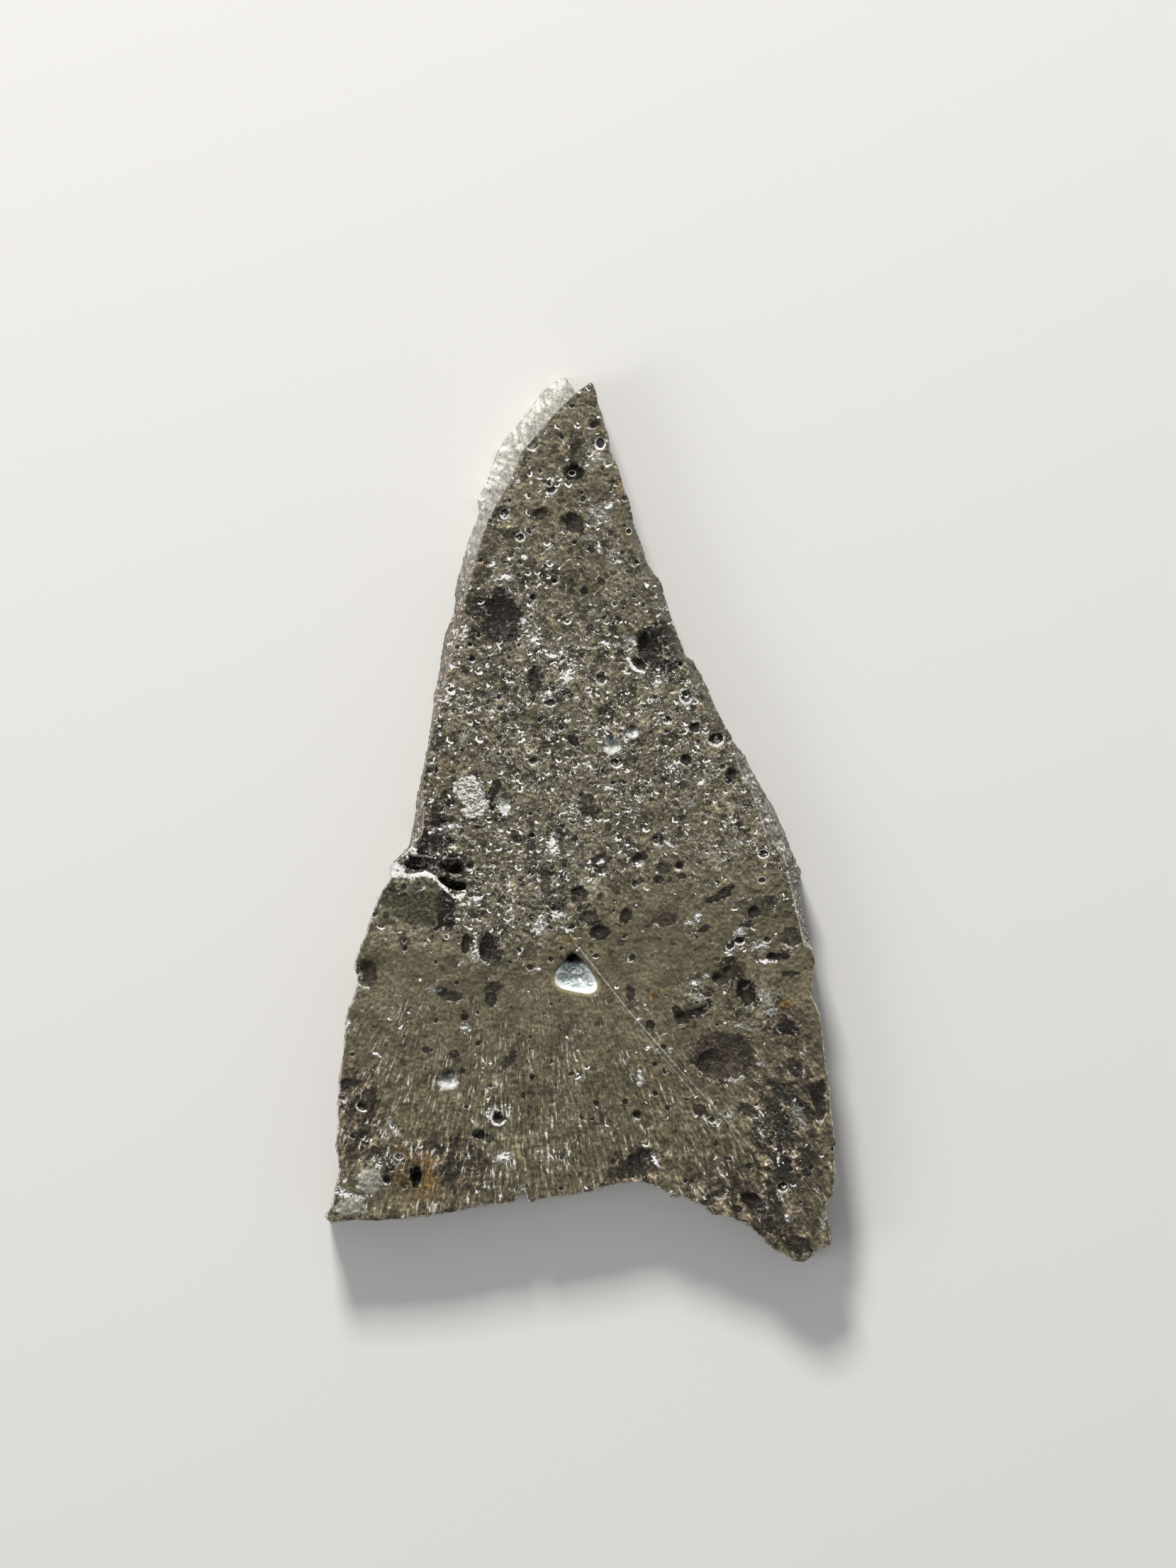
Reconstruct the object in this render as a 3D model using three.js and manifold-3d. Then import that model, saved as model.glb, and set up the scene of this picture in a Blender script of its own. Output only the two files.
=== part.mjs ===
import * as THREE from 'three';
import { mergeVertices } from 'three/addons/utils/BufferGeometryUtils.js';
import Module from 'manifold-3d';

// A thin slice of lunar breccia, sawn flat on both faces and broken all round its edge.
// It lies on its back, face up, with its tip towards +Y. Millimetres, +Z up.
// The origin is under the middle of its box.

const wasm = await Module();
wasm.setup();

// Driving dimensions
const THICKNESS = 1.8;
const EDGE_STEP = 0.24; // spacing of the points added along the broken edge
const EDGE_JITTER = 0.03; // how far an added point strays to either side
const WALL_STATIONS = 84; // points along the leaning wall at the upper left
const RIB_HEIGHT = 0.05; // ribs that run down the leaning wall
const BEVEL_STATIONS = 26; // points along the chipped bevel at the right
const BEVEL_DEPTH = 0.4;
const CHIP_DEPTH = 0.1; // how far the lower rim is chipped back under the face
const WALL_LEVELS = [ 0, 0.35, 0.75, 1 ]; // heights of the wall's rings, as parts of the thickness
const HOLE_LIFT = 0.02; // a pit's middle is this far outside the surface that it opens in
const FINE_FROM = 0.42; // a pit at least this wide is cut with a finer ball
const DISH_SIDES = 26;
const DISH_LEAN = 0.1; // the floor of a dish lies this far towards the tip, so its near side slopes gently
const DISH_LEVELS = [ // from the floor up: depth as a part of the dish's, and width as a part of its outline
	{ down: 1, wide: 0.4 },
	{ down: 0.8, wide: 0.68 },
	{ down: 0.35, wide: 0.9 },
	{ down: 0, wide: 1 },
	{ down: - 0.8, wide: 1.1 },
];
const WALL_HOLLOWS = 22;
const SMALL_PITS = 40;
const BACK_PITS = 20;
const REST_CLEAR = 1.2; // no pit in the back comes this close to the middle
const SEED = 41;

THREE.MathUtils.seededRandom( SEED );

function between( low, high ) {

	return low + ( high - low ) * THREE.MathUtils.seededRandom();

}

function toPoints( pairs ) {

	return pairs.map( ( [ x, y ] ) => new THREE.Vector2( x, y ) );

}

// Face edge, anticlockwise from the tip, in stretches that share their end points

const tipNotch = toPoints( [ [ 0.32, 12.33 ], [ 0.22, 12.25 ], [ - 0.12, 12.01 ] ] );

const leaningFace = toPoints( [
	[ - 0.12, 12.01 ], [ - 0.56, 11.57 ], [ - 1, 11.11 ], [ - 1.4, 10.59 ], [ - 1.62, 10.39 ],
	[ - 1.82, 9.87 ], [ - 2.08, 9.31 ], [ - 2.26, 9.01 ], [ - 2.52, 8.55 ], [ - 2.76, 7.97 ],
	[ - 2.96, 7.15 ], [ - 3.24, 6.21 ], [ - 3.4, 5.71 ], [ - 3.34, 5.17 ], [ - 3.56, 4.75 ],
	[ - 3.74, 4.11 ], [ - 3.88, 3.27 ], [ - 4.04, 2.75 ], [ - 4.26, 2.01 ], [ - 4.32, 1.55 ],
	[ - 4.42, 1.11 ], [ - 4.44, 0.01 ], [ - 4.46, - 0.41 ], [ - 4.82, - 0.89 ], [ - 5.04, - 1.05 ],
] );

const leaningFoot = toPoints( [
	[ - 0.12, 12.01 ], [ - 0.3, 12.39 ], [ - 0.42, 12.53 ], [ - 0.64, 12.47 ], [ - 1.04, 12.13 ],
	[ - 1.46, 11.57 ], [ - 1.76, 11.17 ], [ - 2.16, 10.75 ], [ - 2.4, 10.25 ], [ - 2.68, 9.51 ],
	[ - 2.94, 8.99 ], [ - 2.84, 8.79 ], [ - 3, 8.31 ], [ - 3.26, 7.61 ], [ - 3.5, 6.71 ],
	[ - 3.56, 5.91 ], [ - 3.86, 5.11 ], [ - 4, 4.21 ], [ - 4.12, 3.51 ], [ - 4.24, 2.51 ],
	[ - 4.38, 1.61 ], [ - 4.6, 0.71 ], [ - 4.72, - 0.15 ], [ - 4.86, - 0.83 ], [ - 5.04, - 1.05 ],
] );

const leftEdge = toPoints( [
	[ - 5.04, - 1.05 ], [ - 5.34, - 1.35 ], [ - 5.34, - 1.69 ], [ - 5.68, - 2.25 ], [ - 5.9, - 2.85 ],
	[ - 6.14, - 3.49 ], [ - 6.34, - 4.05 ], [ - 6.28, - 4.65 ], [ - 6.4, - 5.13 ], [ - 6.62, - 5.65 ],
	[ - 6.66, - 6.41 ], [ - 6.76, - 7.15 ], [ - 6.84, - 8.01 ], [ - 6.82, - 8.59 ], [ - 6.9, - 9.21 ],
	[ - 6.78, - 9.93 ], [ - 6.92, - 10.49 ], [ - 7.04, - 11.01 ], [ - 7.22, - 11.21 ], [ - 7.04, - 11.43 ],
] );

const bottomEdge = toPoints( [
	[ - 7.04, - 11.43 ], [ - 6.68, - 11.37 ], [ - 5.92, - 11.35 ], [ - 4.78, - 11.29 ],
	[ - 4.16, - 11.21 ], [ - 3.34, - 11.07 ], [ - 2.8, - 10.93 ], [ - 2.12, - 10.89 ],
	[ - 1.86, - 10.83 ], [ - 1.6, - 10.43 ], [ - 1.46, - 10.87 ], [ - 1.3, - 10.87 ], [ - 1.16, - 10.73 ],
	[ - 0.36, - 10.65 ], [ 0.44, - 10.55 ], [ 0.84, - 10.39 ], [ 1.66, - 10.25 ], [ 2.24, - 10.43 ],
	[ 2.6, - 10.73 ], [ 2.88, - 10.69 ], [ 3.44, - 10.93 ], [ 3.78, - 11.19 ], [ 4.24, - 11.25 ],
	[ 4.68, - 11.45 ], [ 5.24, - 11.99 ], [ 5.78, - 12.33 ], [ 6.04, - 12.49 ], [ 6.3, - 12.53 ],
] );

const rightEdge = toPoints( [
	[ 6.3, - 12.53 ], [ 6.6, - 12.31 ], [ 6.78, - 12.15 ], [ 7.1, - 12.05 ], [ 7.06, - 11.59 ],
	[ 6.94, - 10.95 ], [ 7.16, - 10.63 ], [ 7.22, - 9.95 ], [ 7.18, - 8.89 ], [ 7.08, - 7.95 ],
	[ 6.94, - 6.75 ], [ 6.84, - 5.95 ], [ 6.78, - 5.53 ], [ 6.54, - 5.03 ], [ 6.6, - 4.39 ],
	[ 6.64, - 4.03 ], [ 6.58, - 3.65 ],
] );

const bevelFace = toPoints( [
	[ 6.58, - 3.65 ], [ 6.38, - 3.63 ], [ 6.18, - 2.83 ], [ 6, - 2.03 ], [ 5.88, - 1.43 ],
	[ 5.78, - 1.09 ], [ 5.24, - 0.35 ], [ 4.88, 0.75 ], [ 4.48, 1.49 ], [ 4.32, 2.15 ],
] );

const bevelFoot = toPoints( [
	[ 6.58, - 3.65 ], [ 6.48, - 3.29 ], [ 6.28, - 2.43 ], [ 6.18, - 2.03 ], [ 6.24, - 1.43 ],
	[ 6, - 0.99 ], [ 5.78, - 0.35 ], [ 5.48, 0.31 ], [ 5.14, 0.87 ], [ 4.78, 1.43 ],
	[ 4.7, 1.75 ], [ 4.32, 2.15 ],
] );

const upperRightEdge = toPoints( [
	[ 4.32, 2.15 ], [ 4.12, 2.59 ], [ 3.68, 3.43 ], [ 3.42, 4.05 ], [ 3.18, 4.47 ], [ 2.98, 4.57 ],
	[ 2.8, 5.05 ], [ 2.56, 5.71 ], [ 2.24, 6.75 ], [ 1.96, 7.11 ], [ 1.78, 7.57 ], [ 1.48, 8.35 ],
	[ 1.42, 8.83 ], [ 1.24, 9.31 ], [ 1.1, 9.85 ], [ 0.84, 10.39 ], [ 0.8, 10.85 ], [ 0.52, 11.65 ],
	[ 0.42, 12.15 ], [ 0.32, 12.33 ],
] );

// Each station of the wall pairs a point of the face edge with one of the foot

function brokenStations( points ) {

	const stations = [];

	for ( let i = 0; i < points.length - 1; i ++ ) {

		const start = points[ i ];
		const along = points[ i + 1 ].clone().sub( start );
		const outward = new THREE.Vector2( along.y, - along.x ).normalize();
		const steps = Math.max( 1, Math.round( along.length() / EDGE_STEP ) );

		for ( let s = 0; s < steps; s ++ ) {

			const stray = s === 0 ? 0 : between( - EDGE_JITTER, EDGE_JITTER );
			const face = start.clone().addScaledVector( along, s / steps ).addScaledVector( outward, stray );
			stations.push( { face, foot: face, kind: 'steep' } );

		}

	}

	return stations;

}

function pairedStations( facePoints, footPoints, count, kind ) {

	const face = new THREE.Path().setFromPoints( facePoints ).getSpacedPoints( count );
	const foot = new THREE.Path().setFromPoints( footPoints ).getSpacedPoints( count );
	return face.slice( 0, count ).map( ( point, i ) => ( { face: point, foot: foot[ i ], kind } ) );

}

const stations = [
	...brokenStations( tipNotch ),
	...pairedStations( leaningFace, leaningFoot, WALL_STATIONS, 'leaning' ),
	...brokenStations( leftEdge ),
	...brokenStations( bottomEdge ),
	...brokenStations( rightEdge ),
	...pairedStations( bevelFace, bevelFoot, BEVEL_STATIONS, 'bevel' ),
	...brokenStations( upperRightEdge ),
];

function outwardAt( index ) {

	const count = stations.length;
	const before = stations[ ( index + count - 1 ) % count ].face;
	const after = stations[ ( index + 1 ) % count ].face;
	return new THREE.Vector2( after.y - before.y, before.x - after.x ).normalize();

}

// A leaning station slopes all the way down, a bevel only near the face, a steep one is chipped back

function ringPoint( station, index, level ) {

	const { face, foot, kind } = station;
	const outward = outwardAt( index );
	const drop = 1 - level;

	if ( level === 1 ) {

		return face;

	}

	if ( kind === 'leaning' ) {

		const rib = level > 0 && index % 2 === 0 ? RIB_HEIGHT : 0;
		return face.clone().lerp( foot, drop ).addScaledVector( outward, rib + between( - 0.02, 0.01 ) );

	}

	if ( kind === 'bevel' ) {

		const share = Math.min( 1, drop * THICKNESS / BEVEL_DEPTH );
		return face.clone().lerp( foot, share ).addScaledVector( outward, between( - 0.04, 0 ) );

	}

	return face.clone().addScaledVector( outward, - CHIP_DEPTH * drop * between( 0.2, 1 ) );

}

// A closed mesh through rings of points, the lowest first, all with the same number of points

function loft( rings ) {

	const count = rings[ 0 ].length;
	const positions = rings.flat().flatMap( ( p ) => [ p.x, p.y, p.z ] );
	const triangles = [];

	for ( let r = 0; r < rings.length - 1; r ++ ) {

		for ( let i = 0; i < count; i ++ ) {

			const next = ( i + 1 ) % count;
			const low = r * count;
			const high = low + count;
			triangles.push( low + i, low + next, high + next, low + i, high + next, high + i );

		}

	}

	const top = ( rings.length - 1 ) * count;

	for ( const [ a, b, c ] of THREE.ShapeUtils.triangulateShape( rings.at( - 1 ), [] ) ) {

		triangles.push( top + a, top + b, top + c );

	}

	for ( const [ a, b, c ] of THREE.ShapeUtils.triangulateShape( rings[ 0 ], [] ) ) {

		triangles.push( c, b, a );

	}

	const geometry = new THREE.BufferGeometry();
	geometry.setAttribute( 'position', new THREE.Float32BufferAttribute( positions, 3 ) );
	geometry.setIndex( triangles );
	return geometry;

}

// The slice before anything is cut out of it

function sliceBody() {

	return loft( WALL_LEVELS.map( ( level ) => stations.map( ( station, i ) => {

		const { x, y } = ringPoint( station, i, level );
		return new THREE.Vector3( x, y, level * THICKNESS );

	} ) ) );

}

function toSolid( geometry ) {

	geometry.deleteAttribute( 'normal' );
	geometry.deleteAttribute( 'uv' );
	const merged = mergeVertices( geometry, 1e-5 );
	const mesh = new wasm.Mesh( {
		numProp: 3,
		vertProperties: merged.attributes.position.array,
		triVerts: Uint32Array.from( merged.index.array ),
	} );
	return new wasm.Manifold( mesh );

}

// A pit is an uneven ball, stretched and turned, with its middle just above the face

function pit( { x, y, across, along = across, deep = across, turn = 0, z = THICKNESS + HOLE_LIFT } ) {

	const fine = across + along > FINE_FROM ? 1 : 0;
	const ball = new THREE.IcosahedronGeometry( 1, fine );
	ball.deleteAttribute( 'normal' );
	ball.deleteAttribute( 'uv' );
	ball.rotateX( between( 0.1, 3 ) );
	ball.rotateY( between( 0.1, 3 ) );
	const shape = mergeVertices( ball, 1e-4 );
	const position = shape.attributes.position;

	for ( let i = 0; i < position.count; i ++ ) {

		const swell = between( 0.86, 1.16 );
		position.setXYZ( i, position.getX( i ) * swell, position.getY( i ) * swell, position.getZ( i ) * swell );

	}

	shape.scale( across, along, deep );
	shape.rotateZ( THREE.MathUtils.degToRad( turn ) );
	shape.translate( x, y, z );
	return toSolid( shape );

}

// Round vesicles in the face

const vesicles = [
	{ x: - 3.68, y: - 7.33, across: 0.24 },
	{ x: - 6.14, y: - 8.13, across: 0.17 },
	{ x: - 2.3, y: - 8.45, across: 0.2 },
	{ x: 1.74, y: 4.35, across: 0.2 },
	{ x: 1.48, y: 2.47, across: 0.17 },
	{ x: 0.94, y: 2.07, across: 0.21 },
	{ x: 1.04, y: 1.6, across: 0.17 },
	{ x: 2.48, y: 2.79, across: 0.13 },
	{ x: 3.84, y: 2.25, across: 0.22 },
	{ x: 3, y: 3.45, across: 0.16, along: 0.2 },
	{ x: - 0.8, y: 9.31, across: 0.17 },
	{ x: - 0.16, y: 9.77, across: 0.24 },
	{ x: - 0.84, y: 3.31, across: 0.17 },
	{ x: 3.24, y: 2.57, across: 0.14 },
	{ x: 3, y: 1.67, across: 0.18 },
	{ x: 4.28, y: 1.27, across: 0.18 },
	{ x: 4.5, y: - 3.43, across: 0.14 },
	{ x: 5.28, y: - 3.41, across: 0.12 },
	{ x: 5.18, y: - 0.99, across: 0.16, along: 0.12 },
	{ x: 3.9, y: - 4.55, across: 0.2 },
	{ x: 4.2, y: - 4.29, across: 0.17 },
	{ x: 2.84, y: - 5.61, across: 0.18 },
	{ x: 5.72, y: - 10.39, across: 0.16 },
	{ x: - 1.68, y: 7.95, across: 0.14 },
	{ x: - 2.12, y: 8.67, across: 0.16 },
];

// Hollows where a clast stands back from the sawn face

const clastHollows = [
	{ x: - 2.2, y: 5.71, across: 0.54, along: 0.68, deep: 0.14 },
	{ x: - 0.18, y: 8.35, across: 0.26, along: 0.34, deep: 0.16 },
	{ x: - 1.12, y: 8.61, across: 0.18, along: 0.14, deep: 0.12 },
	{ x: 1.94, y: 4.91, across: 0.3, along: 0.34, deep: 0.2 },
	{ x: - 1.3, y: 3.97, across: 0.16, along: 0.36, deep: 0.14 },
	{ x: - 0.04, y: - 2.13, across: 0.26, along: 0.24, deep: 0.16 },
	{ x: 0.24, y: - 2.73, across: 0.26, along: 0.15, deep: 0.14 },
	{ x: 0.54, y: - 3.17, across: 0.24, along: 0.18, deep: 0.16 },
	{ x: 1.28, y: - 2.71, across: 0.12, along: 0.2, deep: 0.12, turn: - 25 },
	{ x: - 0.96, y: - 1.79, across: 0.18, along: 0.44, deep: 0.1 },
	{ x: 4, y: - 2.09, across: 0.25, along: 0.11, deep: 0.14, turn: 25 },
	{ x: 4.9, y: - 2.63, across: 0.16, along: 0.18, deep: 0.14 },
	{ x: 5.4, y: - 3.89, across: 0.18, along: 0.12, deep: 0.16 },
	{ x: 4.7, y: - 4.87, across: 0.26, along: 0.34, deep: 0.16 },
	{ x: 3.8, y: - 6.93, across: 0.56, along: 0.44, deep: 0.16 },
	{ x: 3.4, y: - 5.43, across: 0.24, along: 0.13, deep: 0.12 },
	{ x: - 2.66, y: - 3.59, across: 0.22, along: 0.44, deep: 0.18 },
	{ x: - 3.22, y: - 3.49, across: 0.11, along: 0.26, deep: 0.14 },
	{ x: - 2.56, y: - 4.89, across: 0.13, along: 0.3, deep: 0.14 },
	{ x: 4.84, y: - 10.75, across: 0.36, along: 0.18, deep: 0.18, turn: - 20 },
	{ x: 1.74, y: - 9.69, across: 0.44, along: 0.36, deep: 0.14, turn: 30 },
	{ x: - 2.76, y: - 8.99, across: 0.24, along: 0.16, deep: 0.14 },
	{ x: - 4.62, y: - 10.09, across: 0.16, along: 0.3, deep: 0.4 },
	{ x: - 6.7, y: - 7.89, across: 0.16, deep: 0.2 },
	{ x: - 6, y: - 4.36, across: 0.32, along: 0.42, deep: 0.2 },
];

// The deep hole at the top of the glassy vesicle, and the groove above the torn pocket

const deepHoles = [
	{ x: - 0.24, y: - 3.93, across: 0.18, deep: 0.9 },
	{ x: - 3.72, y: - 0.06, across: 0.32, along: 0.1, deep: 0.2 },
];

// Hollows with an outline of their own, anticlockwise

const glassyVesicle = {
	depth: 0.5,
	outline: toPoints( [
		[ - 0.24, - 3.8 ], [ - 0.52, - 4.1 ], [ - 0.72, - 4.44 ], [ - 0.62, - 4.72 ], [ - 0.2, - 4.87 ],
		[ 0.32, - 4.92 ], [ 0.5, - 4.72 ], [ 0.38, - 4.4 ], [ 0.14, - 4.06 ], [ - 0.06, - 3.84 ],
	] ),
};

const tornPocket = {
	depth: 0.5,
	outline: toPoints( [
		[ - 4.3, - 1.03 ], [ - 4.65, - 1.05 ], [ - 4.92, - 1.2 ], [ - 4.98, - 1.4 ], [ - 4.75, - 1.55 ],
		[ - 4.35, - 1.54 ], [ - 4.1, - 1.46 ], [ - 4.12, - 1.22 ],
	] ),
};

const darkHollow = {
	depth: 0.6,
	outline: toPoints( [
		[ - 3.5, - 1.08 ], [ - 3.84, - 1.16 ], [ - 3.96, - 1.38 ], [ - 3.82, - 1.54 ], [ - 3.5, - 1.68 ],
		[ - 3.28, - 1.62 ], [ - 3.3, - 1.28 ],
	] ),
};

const dishes = [ glassyVesicle, tornPocket, darkHollow ];

function dish( { outline, depth } ) {

	const corners = outline.map( ( { x, y } ) => new THREE.Vector3( x, y, THICKNESS ) );
	const rim = new THREE.CatmullRomCurve3( corners, true ).getSpacedPoints( DISH_SIDES ).slice( 1 );
	const middle = new THREE.Box3().setFromPoints( rim ).getCenter( new THREE.Vector3() );
	const rings = DISH_LEVELS.map( ( { down, wide } ) => {

		const drop = new THREE.Vector3( 0, DISH_LEAN * Math.max( 0, down ), - down * depth );
		return rim.map( ( point ) => middle.clone().lerp( point, wide ).add( drop ) );

	} );
	return toSolid( loft( rings ) );

}

const cleftOutline = toPoints( [
	[ - 4.08, - 1.63 ], [ - 3.92, - 1.83 ], [ - 3.72, - 1.97 ], [ - 3.46, - 2.05 ],
	[ - 3.2, - 2.01 ], [ - 3.2, - 1.81 ], [ - 3.46, - 1.79 ], [ - 3.8, - 1.65 ],
] );
const CLEFT_DEPTH = 1.1;

function cleft() {

	const solid = new THREE.ExtrudeGeometry( new THREE.Shape( cleftOutline ), {
		depth: 2 * CLEFT_DEPTH,
		bevelEnabled: false,
	} );
	solid.translate( 0, 0, THICKNESS - CLEFT_DEPTH );
	return toSolid( solid );

}

// The one hole that goes right through, just inside the edge below the tip

const TIP_HOLE = { x: 0.58, y: 10.6, across: 0.13, along: 0.17, sides: 9 };

function tipHole() {

	const bore = new THREE.CylinderGeometry( 1, 1, 2 * THICKNESS, TIP_HOLE.sides );
	bore.rotateX( Math.PI / 2 );
	bore.scale( TIP_HOLE.across, TIP_HOLE.along, 1 );
	bore.translate( TIP_HOLE.x, TIP_HOLE.y, THICKNESS / 2 );
	return toSolid( bore );

}

// Pits too small to place one by one

const faceEdge = stations.map( ( s ) => s.face );
const bounds = new THREE.Box2().setFromPoints( faceEdge );

function insideFace( x, y, margin ) {

	let inside = false;

	for ( let i = 0, j = faceEdge.length - 1; i < faceEdge.length; j = i ++ ) {

		const a = faceEdge[ i ];
		const b = faceEdge[ j ];

		if ( Math.hypot( x - a.x, y - a.y ) < margin ) {

			return false;

		}

		if ( ( a.y > y ) !== ( b.y > y ) && x < a.x + ( b.x - a.x ) * ( y - a.y ) / ( b.y - a.y ) ) {

			inside = ! inside;

		}

	}

	return inside;

}

function scatteredPits( count, z, allowed ) {

	const pits = [];

	while ( pits.length < count ) {

		const x = between( bounds.min.x, bounds.max.x );
		const y = between( bounds.min.y, bounds.max.y );

		if ( insideFace( x, y, 0.35 ) && allowed( x, y ) ) {

			pits.push( { x, y, z, across: between( 0.08, 0.14 ), along: between( 0.08, 0.14 ) } );

		}

	}

	return pits;

}

// Hollows in the wall, where vesicles were broken open

function wallHollows() {

	const hollows = [];

	for ( let i = 0; i < WALL_HOLLOWS; i ++ ) {

		const index = Math.floor( ( i + between( 0, 0.8 ) ) * stations.length / WALL_HOLLOWS );
		const { x, y } = stations[ index ].foot.clone().addScaledVector( outwardAt( index ), 0.22 );
		const z = THICKNESS * between( 0.25, 0.6 );
		hollows.push( { x, y, z, across: between( 0.3, 0.42 ), deep: between( 0.25, 0.4 ) } );

	}

	return hollows;

}

const placed = [ ...vesicles, ...clastHollows, ...deepHoles ];

function clearOfPlaced( x, y ) {

	const here = new THREE.Vector2( x, y );
	const offPits = placed.every( ( p ) => {

		return Math.hypot( x - p.x, y - p.y ) > p.across + ( p.along ?? p.across ) + 0.1;

	} );
	return offPits && dishes.every( ( d ) => d.outline.every( ( p ) => p.distanceTo( here ) > 0.5 ) );

}

function clearOfRest( x, y ) {

	return Math.hypot( x, y ) > REST_CLEAR;

}

const allPits = [
	...placed,
	...wallHollows(),
	...scatteredPits( SMALL_PITS, THICKNESS + HOLE_LIFT, clearOfPlaced ),
	...scatteredPits( BACK_PITS, - HOLE_LIFT, clearOfRest ),
];

function carvedSlice() {

	let solid = toSolid( sliceBody() );

	for ( const hollow of allPits ) {

		solid = solid.subtract( pit( hollow ) );

	}

	for ( const hollow of dishes ) {

		solid = solid.subtract( dish( hollow ) );

	}

	return solid.subtract( cleft() ).subtract( tipHole() );

}

// The mesh is moved so that the origin is under the middle of the box

function toGeometry( solid ) {

	const mesh = solid.getMesh();
	const geometry = new THREE.BufferGeometry();
	geometry.setAttribute( 'position', new THREE.BufferAttribute( mesh.vertProperties, 3 ) );
	geometry.setIndex( new THREE.BufferAttribute( mesh.triVerts, 1 ) );
	geometry.computeBoundingBox();
	const middle = geometry.boundingBox.getCenter( new THREE.Vector3() );
	geometry.translate( - middle.x, - middle.y, - geometry.boundingBox.min.z );
	return geometry;

}

const breccia = new THREE.MeshStandardMaterial( {
	color: 0x5a5750,
	roughness: 0.85,
	metalness: 0,
	flatShading: true,
} );

const slice = new THREE.Mesh( toGeometry( carvedSlice() ), breccia );
slice.name = 'meteorite_slice';

const group = new THREE.Group();
group.add( slice );

export default group;
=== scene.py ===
import math
from types import SimpleNamespace
import bmesh
import bpy
import numpy as np
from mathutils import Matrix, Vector


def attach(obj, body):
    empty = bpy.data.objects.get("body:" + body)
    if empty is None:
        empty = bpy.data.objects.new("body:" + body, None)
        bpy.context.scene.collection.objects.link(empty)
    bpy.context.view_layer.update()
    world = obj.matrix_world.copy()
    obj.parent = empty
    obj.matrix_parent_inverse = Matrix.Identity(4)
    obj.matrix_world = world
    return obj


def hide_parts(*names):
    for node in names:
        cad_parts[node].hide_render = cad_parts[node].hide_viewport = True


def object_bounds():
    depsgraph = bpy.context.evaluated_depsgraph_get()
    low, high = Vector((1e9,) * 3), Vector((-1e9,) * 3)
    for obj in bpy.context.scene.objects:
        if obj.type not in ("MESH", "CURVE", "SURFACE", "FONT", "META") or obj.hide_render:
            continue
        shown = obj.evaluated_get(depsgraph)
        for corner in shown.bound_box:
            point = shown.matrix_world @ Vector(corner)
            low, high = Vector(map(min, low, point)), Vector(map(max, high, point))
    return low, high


# A sawn slice of lunar breccia, lying on its back on a pale table.
# The stone is worked in millimetres and brought back to metres at the end.

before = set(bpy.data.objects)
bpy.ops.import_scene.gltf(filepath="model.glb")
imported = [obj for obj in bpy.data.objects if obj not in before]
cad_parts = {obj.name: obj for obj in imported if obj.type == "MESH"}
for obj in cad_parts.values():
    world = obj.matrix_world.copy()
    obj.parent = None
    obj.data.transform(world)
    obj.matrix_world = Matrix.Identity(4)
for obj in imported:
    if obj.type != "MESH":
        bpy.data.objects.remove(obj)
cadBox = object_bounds()
mm = 0.001
print("frame loaded")

# What stands out on the face, in millimetres from the middle of the slice, the same places as in the
# solid where it has a hollow there. A mark is x, y, half width and half height, then a value that its
# list explains and a turn in degrees, which are 0 where they are left out.

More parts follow.
